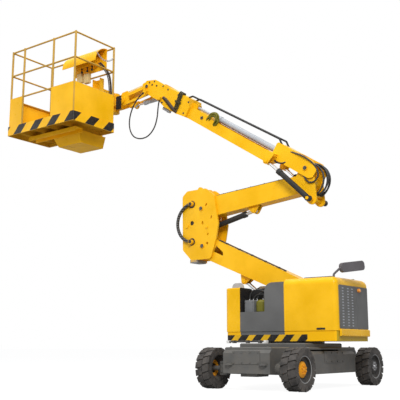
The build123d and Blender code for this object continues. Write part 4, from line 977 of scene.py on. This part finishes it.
# %% Dress the boom
# Painted shade: a dark brown band along the front box's lower edge stands for the shade under its curved
# underside.
wall = onto("boom", on_boom(2.80, -0.15, 1.0), INWARD).y - slew.y
shade_band = [on_boom(2.98, -0.10, wall - 0.02), on_boom(2.90, -0.11, wall), on_boom(2.78, -0.15, wall),
         on_boom(2.66, -0.19, wall), on_boom(2.58, -0.20, wall - 0.02)]
hose("boom_shade_band", [shade_band], 0.030, "boom", dark_brown_and_shade)
BUNCH_U = 1.87
BUNCH = ((0.00, 1.0, 0.120), (0.03, 0.9, 0.132), (-0.03, 1.0, 0.128), (0.015, 0.7, 0.144),
         (-0.015, 0.6, 0.140))
bunch = []
for lift, wide, out in BUNCH:
    turns = ((0.13, -0.06, 0.100), (0.11, 0.00, out), (0.00, 0.06, out + 0.008), (-0.10, 0.03, out + 0.008),
             (-0.11, -0.04, out), (-0.04, -0.08, 0.100))
    bunch.append([on_boom(BUNCH_U + u * wide, v + lift, y) for u, v, y in turns])
hose("boom_bunch", bunch, 0.013, "boom", olive)
shape = bmesh.new()
bolt(shape, onto("boom", on_boom(2.10, -0.09, 1.0), INWARD), (0, 1, 0), 0.018)
add("saddle_bolt", shape, "boom", dark_steel)
shape = bmesh.new()
for start_u, end_u, radius in ((2.76, 2.92, 0.028), (2.80, 2.82, 0.033)):
    rod(shape, on_boom(start_u, -0.250, 0.10), on_boom(end_u, -0.250, 0.10), radius, 24)
add("boom_motor", shape, "boom", pale_grey)
FOOT_LOOP = ((0.33, 0.10, 0.155), (0.17, 0.130, 0.185), (0.00, 0.125, 0.180), (-0.14, 0.090, 0.160),
             (-0.24, 0.00, 0.150), (-0.22, -0.12, 0.150), (-0.11, -0.16, 0.150), (-0.03, -0.10, 0.150))
FOOT_BOW = ((0.57, -0.09, 0.150), (0.54, -0.11, 0.172), (0.44, -0.125, 0.176), (0.36, -0.10, 0.174),
            (0.33, -0.06, 0.155))
foot_lines = [[on_boom(*point) for point in route] for route in (FOOT_LOOP, FOOT_BOW)]
hose("boom_foot_hoses", foot_lines, 0.011, "boom", hose_rubber)
print("boom dressed with", 1 + len(bunch) + len(foot_lines), "hoses")

# %% [markdown]
# ## Hanging hose
# One hose hangs free in a loop beside the boom's head. It could stay the solid tube of the frame, but a
# curve along the same points is smoother. It stands for that solid, which is hidden.

# %% Hang the hose
HOSE_Y = 0.192
HOSE_D = 0.022
HOSE_XZ = ((2.330, 4.310), (2.340, 4.140), (2.400, 3.970), (2.530, 3.855), (2.700, 3.840), (2.855, 3.905),
           (2.940, 4.050), (2.950, 4.220), (2.895, 4.390), (2.800, 4.520), (2.700, 4.600))
start, end = on_boom(3.013, -0.134, HOSE_Y), on_boom(3.360, -0.150, HOSE_Y)
points = [start] + [at(x, HOSE_Y, z) for x, z in HOSE_XZ] + [end]
loop = hose("hanging_hose", [points], HOSE_D / 2, "boom", hose_rubber)
loop.data.resolution_u = 16
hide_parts("boom_hose")

# %% [markdown]
# ## Platform fittings
# The bracket carries a black control box. Levers hang under the console, with a knob at its end, two pale
# socket boxes stand below it, and cables run from it down to the floor. A UV sphere would crowd its faces at
# the poles, so the knobs are icospheres.

# %% Fit the platform
shape = bmesh.new()
side_y = onto("platform_bracket", at(3.25, 1.0, 4.60), INWARD).y
brick(shape, (slew.x + 3.195, side_y - BEDDED, 4.47), (slew.x + 3.300, side_y + 0.028, 4.70), 0.008)
add("bracket_box", shape, "platform_bracket", guard_black)
LEVER_R = 0.008
shape = bmesh.new()
for x in (3.42, 3.53, 3.66):
    foot = onto("console", at(x, 0.62, 4.5), UP)
    rod(shape, foot - UP * 0.055, foot + UP * 0.004, LEVER_R)
    disc(shape, facing(foot + UP * 0.002, DOWN), 0.022, 0.012, 20, 0.016)
    ball(shape, foot - UP * 0.065, 0.020)
add("console_levers", shape, "basket", guard_black)
shape = bmesh.new()
for x, wide, low, high in ((3.55, 0.11, 4.89, 5.06), (3.71, 0.12, 4.93, 5.09)):
    brick(shape, at(x, 0.505, low), at(x + wide, 0.575, high), 0.008)
add("socket_boxes", shape, "basket", cream)
CABLE_ROUTE = ((3.24, 0.60, 5.16), (3.14, 0.58, 5.05), (3.06, 0.545, 4.90), (3.045, 0.525, 4.60),
               (3.045, 0.525, 4.20), (3.045, 0.525, 4.015))
cables = [[at(x + shift, y, z) for x, y, z in CABLE_ROUTE] for shift in (0.0, 0.022, 0.05)]
hose("console_cables", cables, 0.009, "basket", dark_brown_and_shade)
shape = bmesh.new()
end = onto("console", at(4.6, 0.56, 5.21), (-1, 0, 0))
rod(shape, end - Vector((0.004, 0, 0)), end + Vector((0.045, 0, -0.02)), LEVER_R)
ball(shape, end + Vector((0.055, 0, -0.025)), 0.024)
add("console_knob", shape, "basket", guard_black)
print("console's end at", round(end.x, 3))

# %% [markdown]
# ## Gate chain
# A chain hangs across the way in. It could be an array along a curve, but a loop shows how it works: each
# link is one small turned ring, a quarter turn from the last, and the chain sags as a parabola.

# %% Hang the chain
LINKS = 17
SAG = 0.10
LINK_R = 0.013
WIRE_R = 0.0035
WIRE_SIDES = 6
shape = bmesh.new()
first, last = at(3.018, 0.53, 5.20), at(3.018, 0.93, 5.20)
corners = [turn * 2 * math.pi / WIRE_SIDES for turn in range(WIRE_SIDES)]
ring = [(LINK_R + WIRE_R * math.cos(turn), WIRE_R * math.sin(turn)) for turn in corners]
for link in range(LINKS):
    share = (link + 0.5) / LINKS
    place = first.lerp(last, share) - UP * SAG * 4 * share * (1 - share)
    out = (1, 0, 0) if link % 2 else (0, 0, 1)
    turned(shape, facing(place, out), ring, 14)
add("gate_chain", shape, "basket", steel)
print("chain of", LINKS, "links")

# %% [markdown]
# ## Sizes
# The lesson ends here.

# %% End the lesson
print("lesson done")
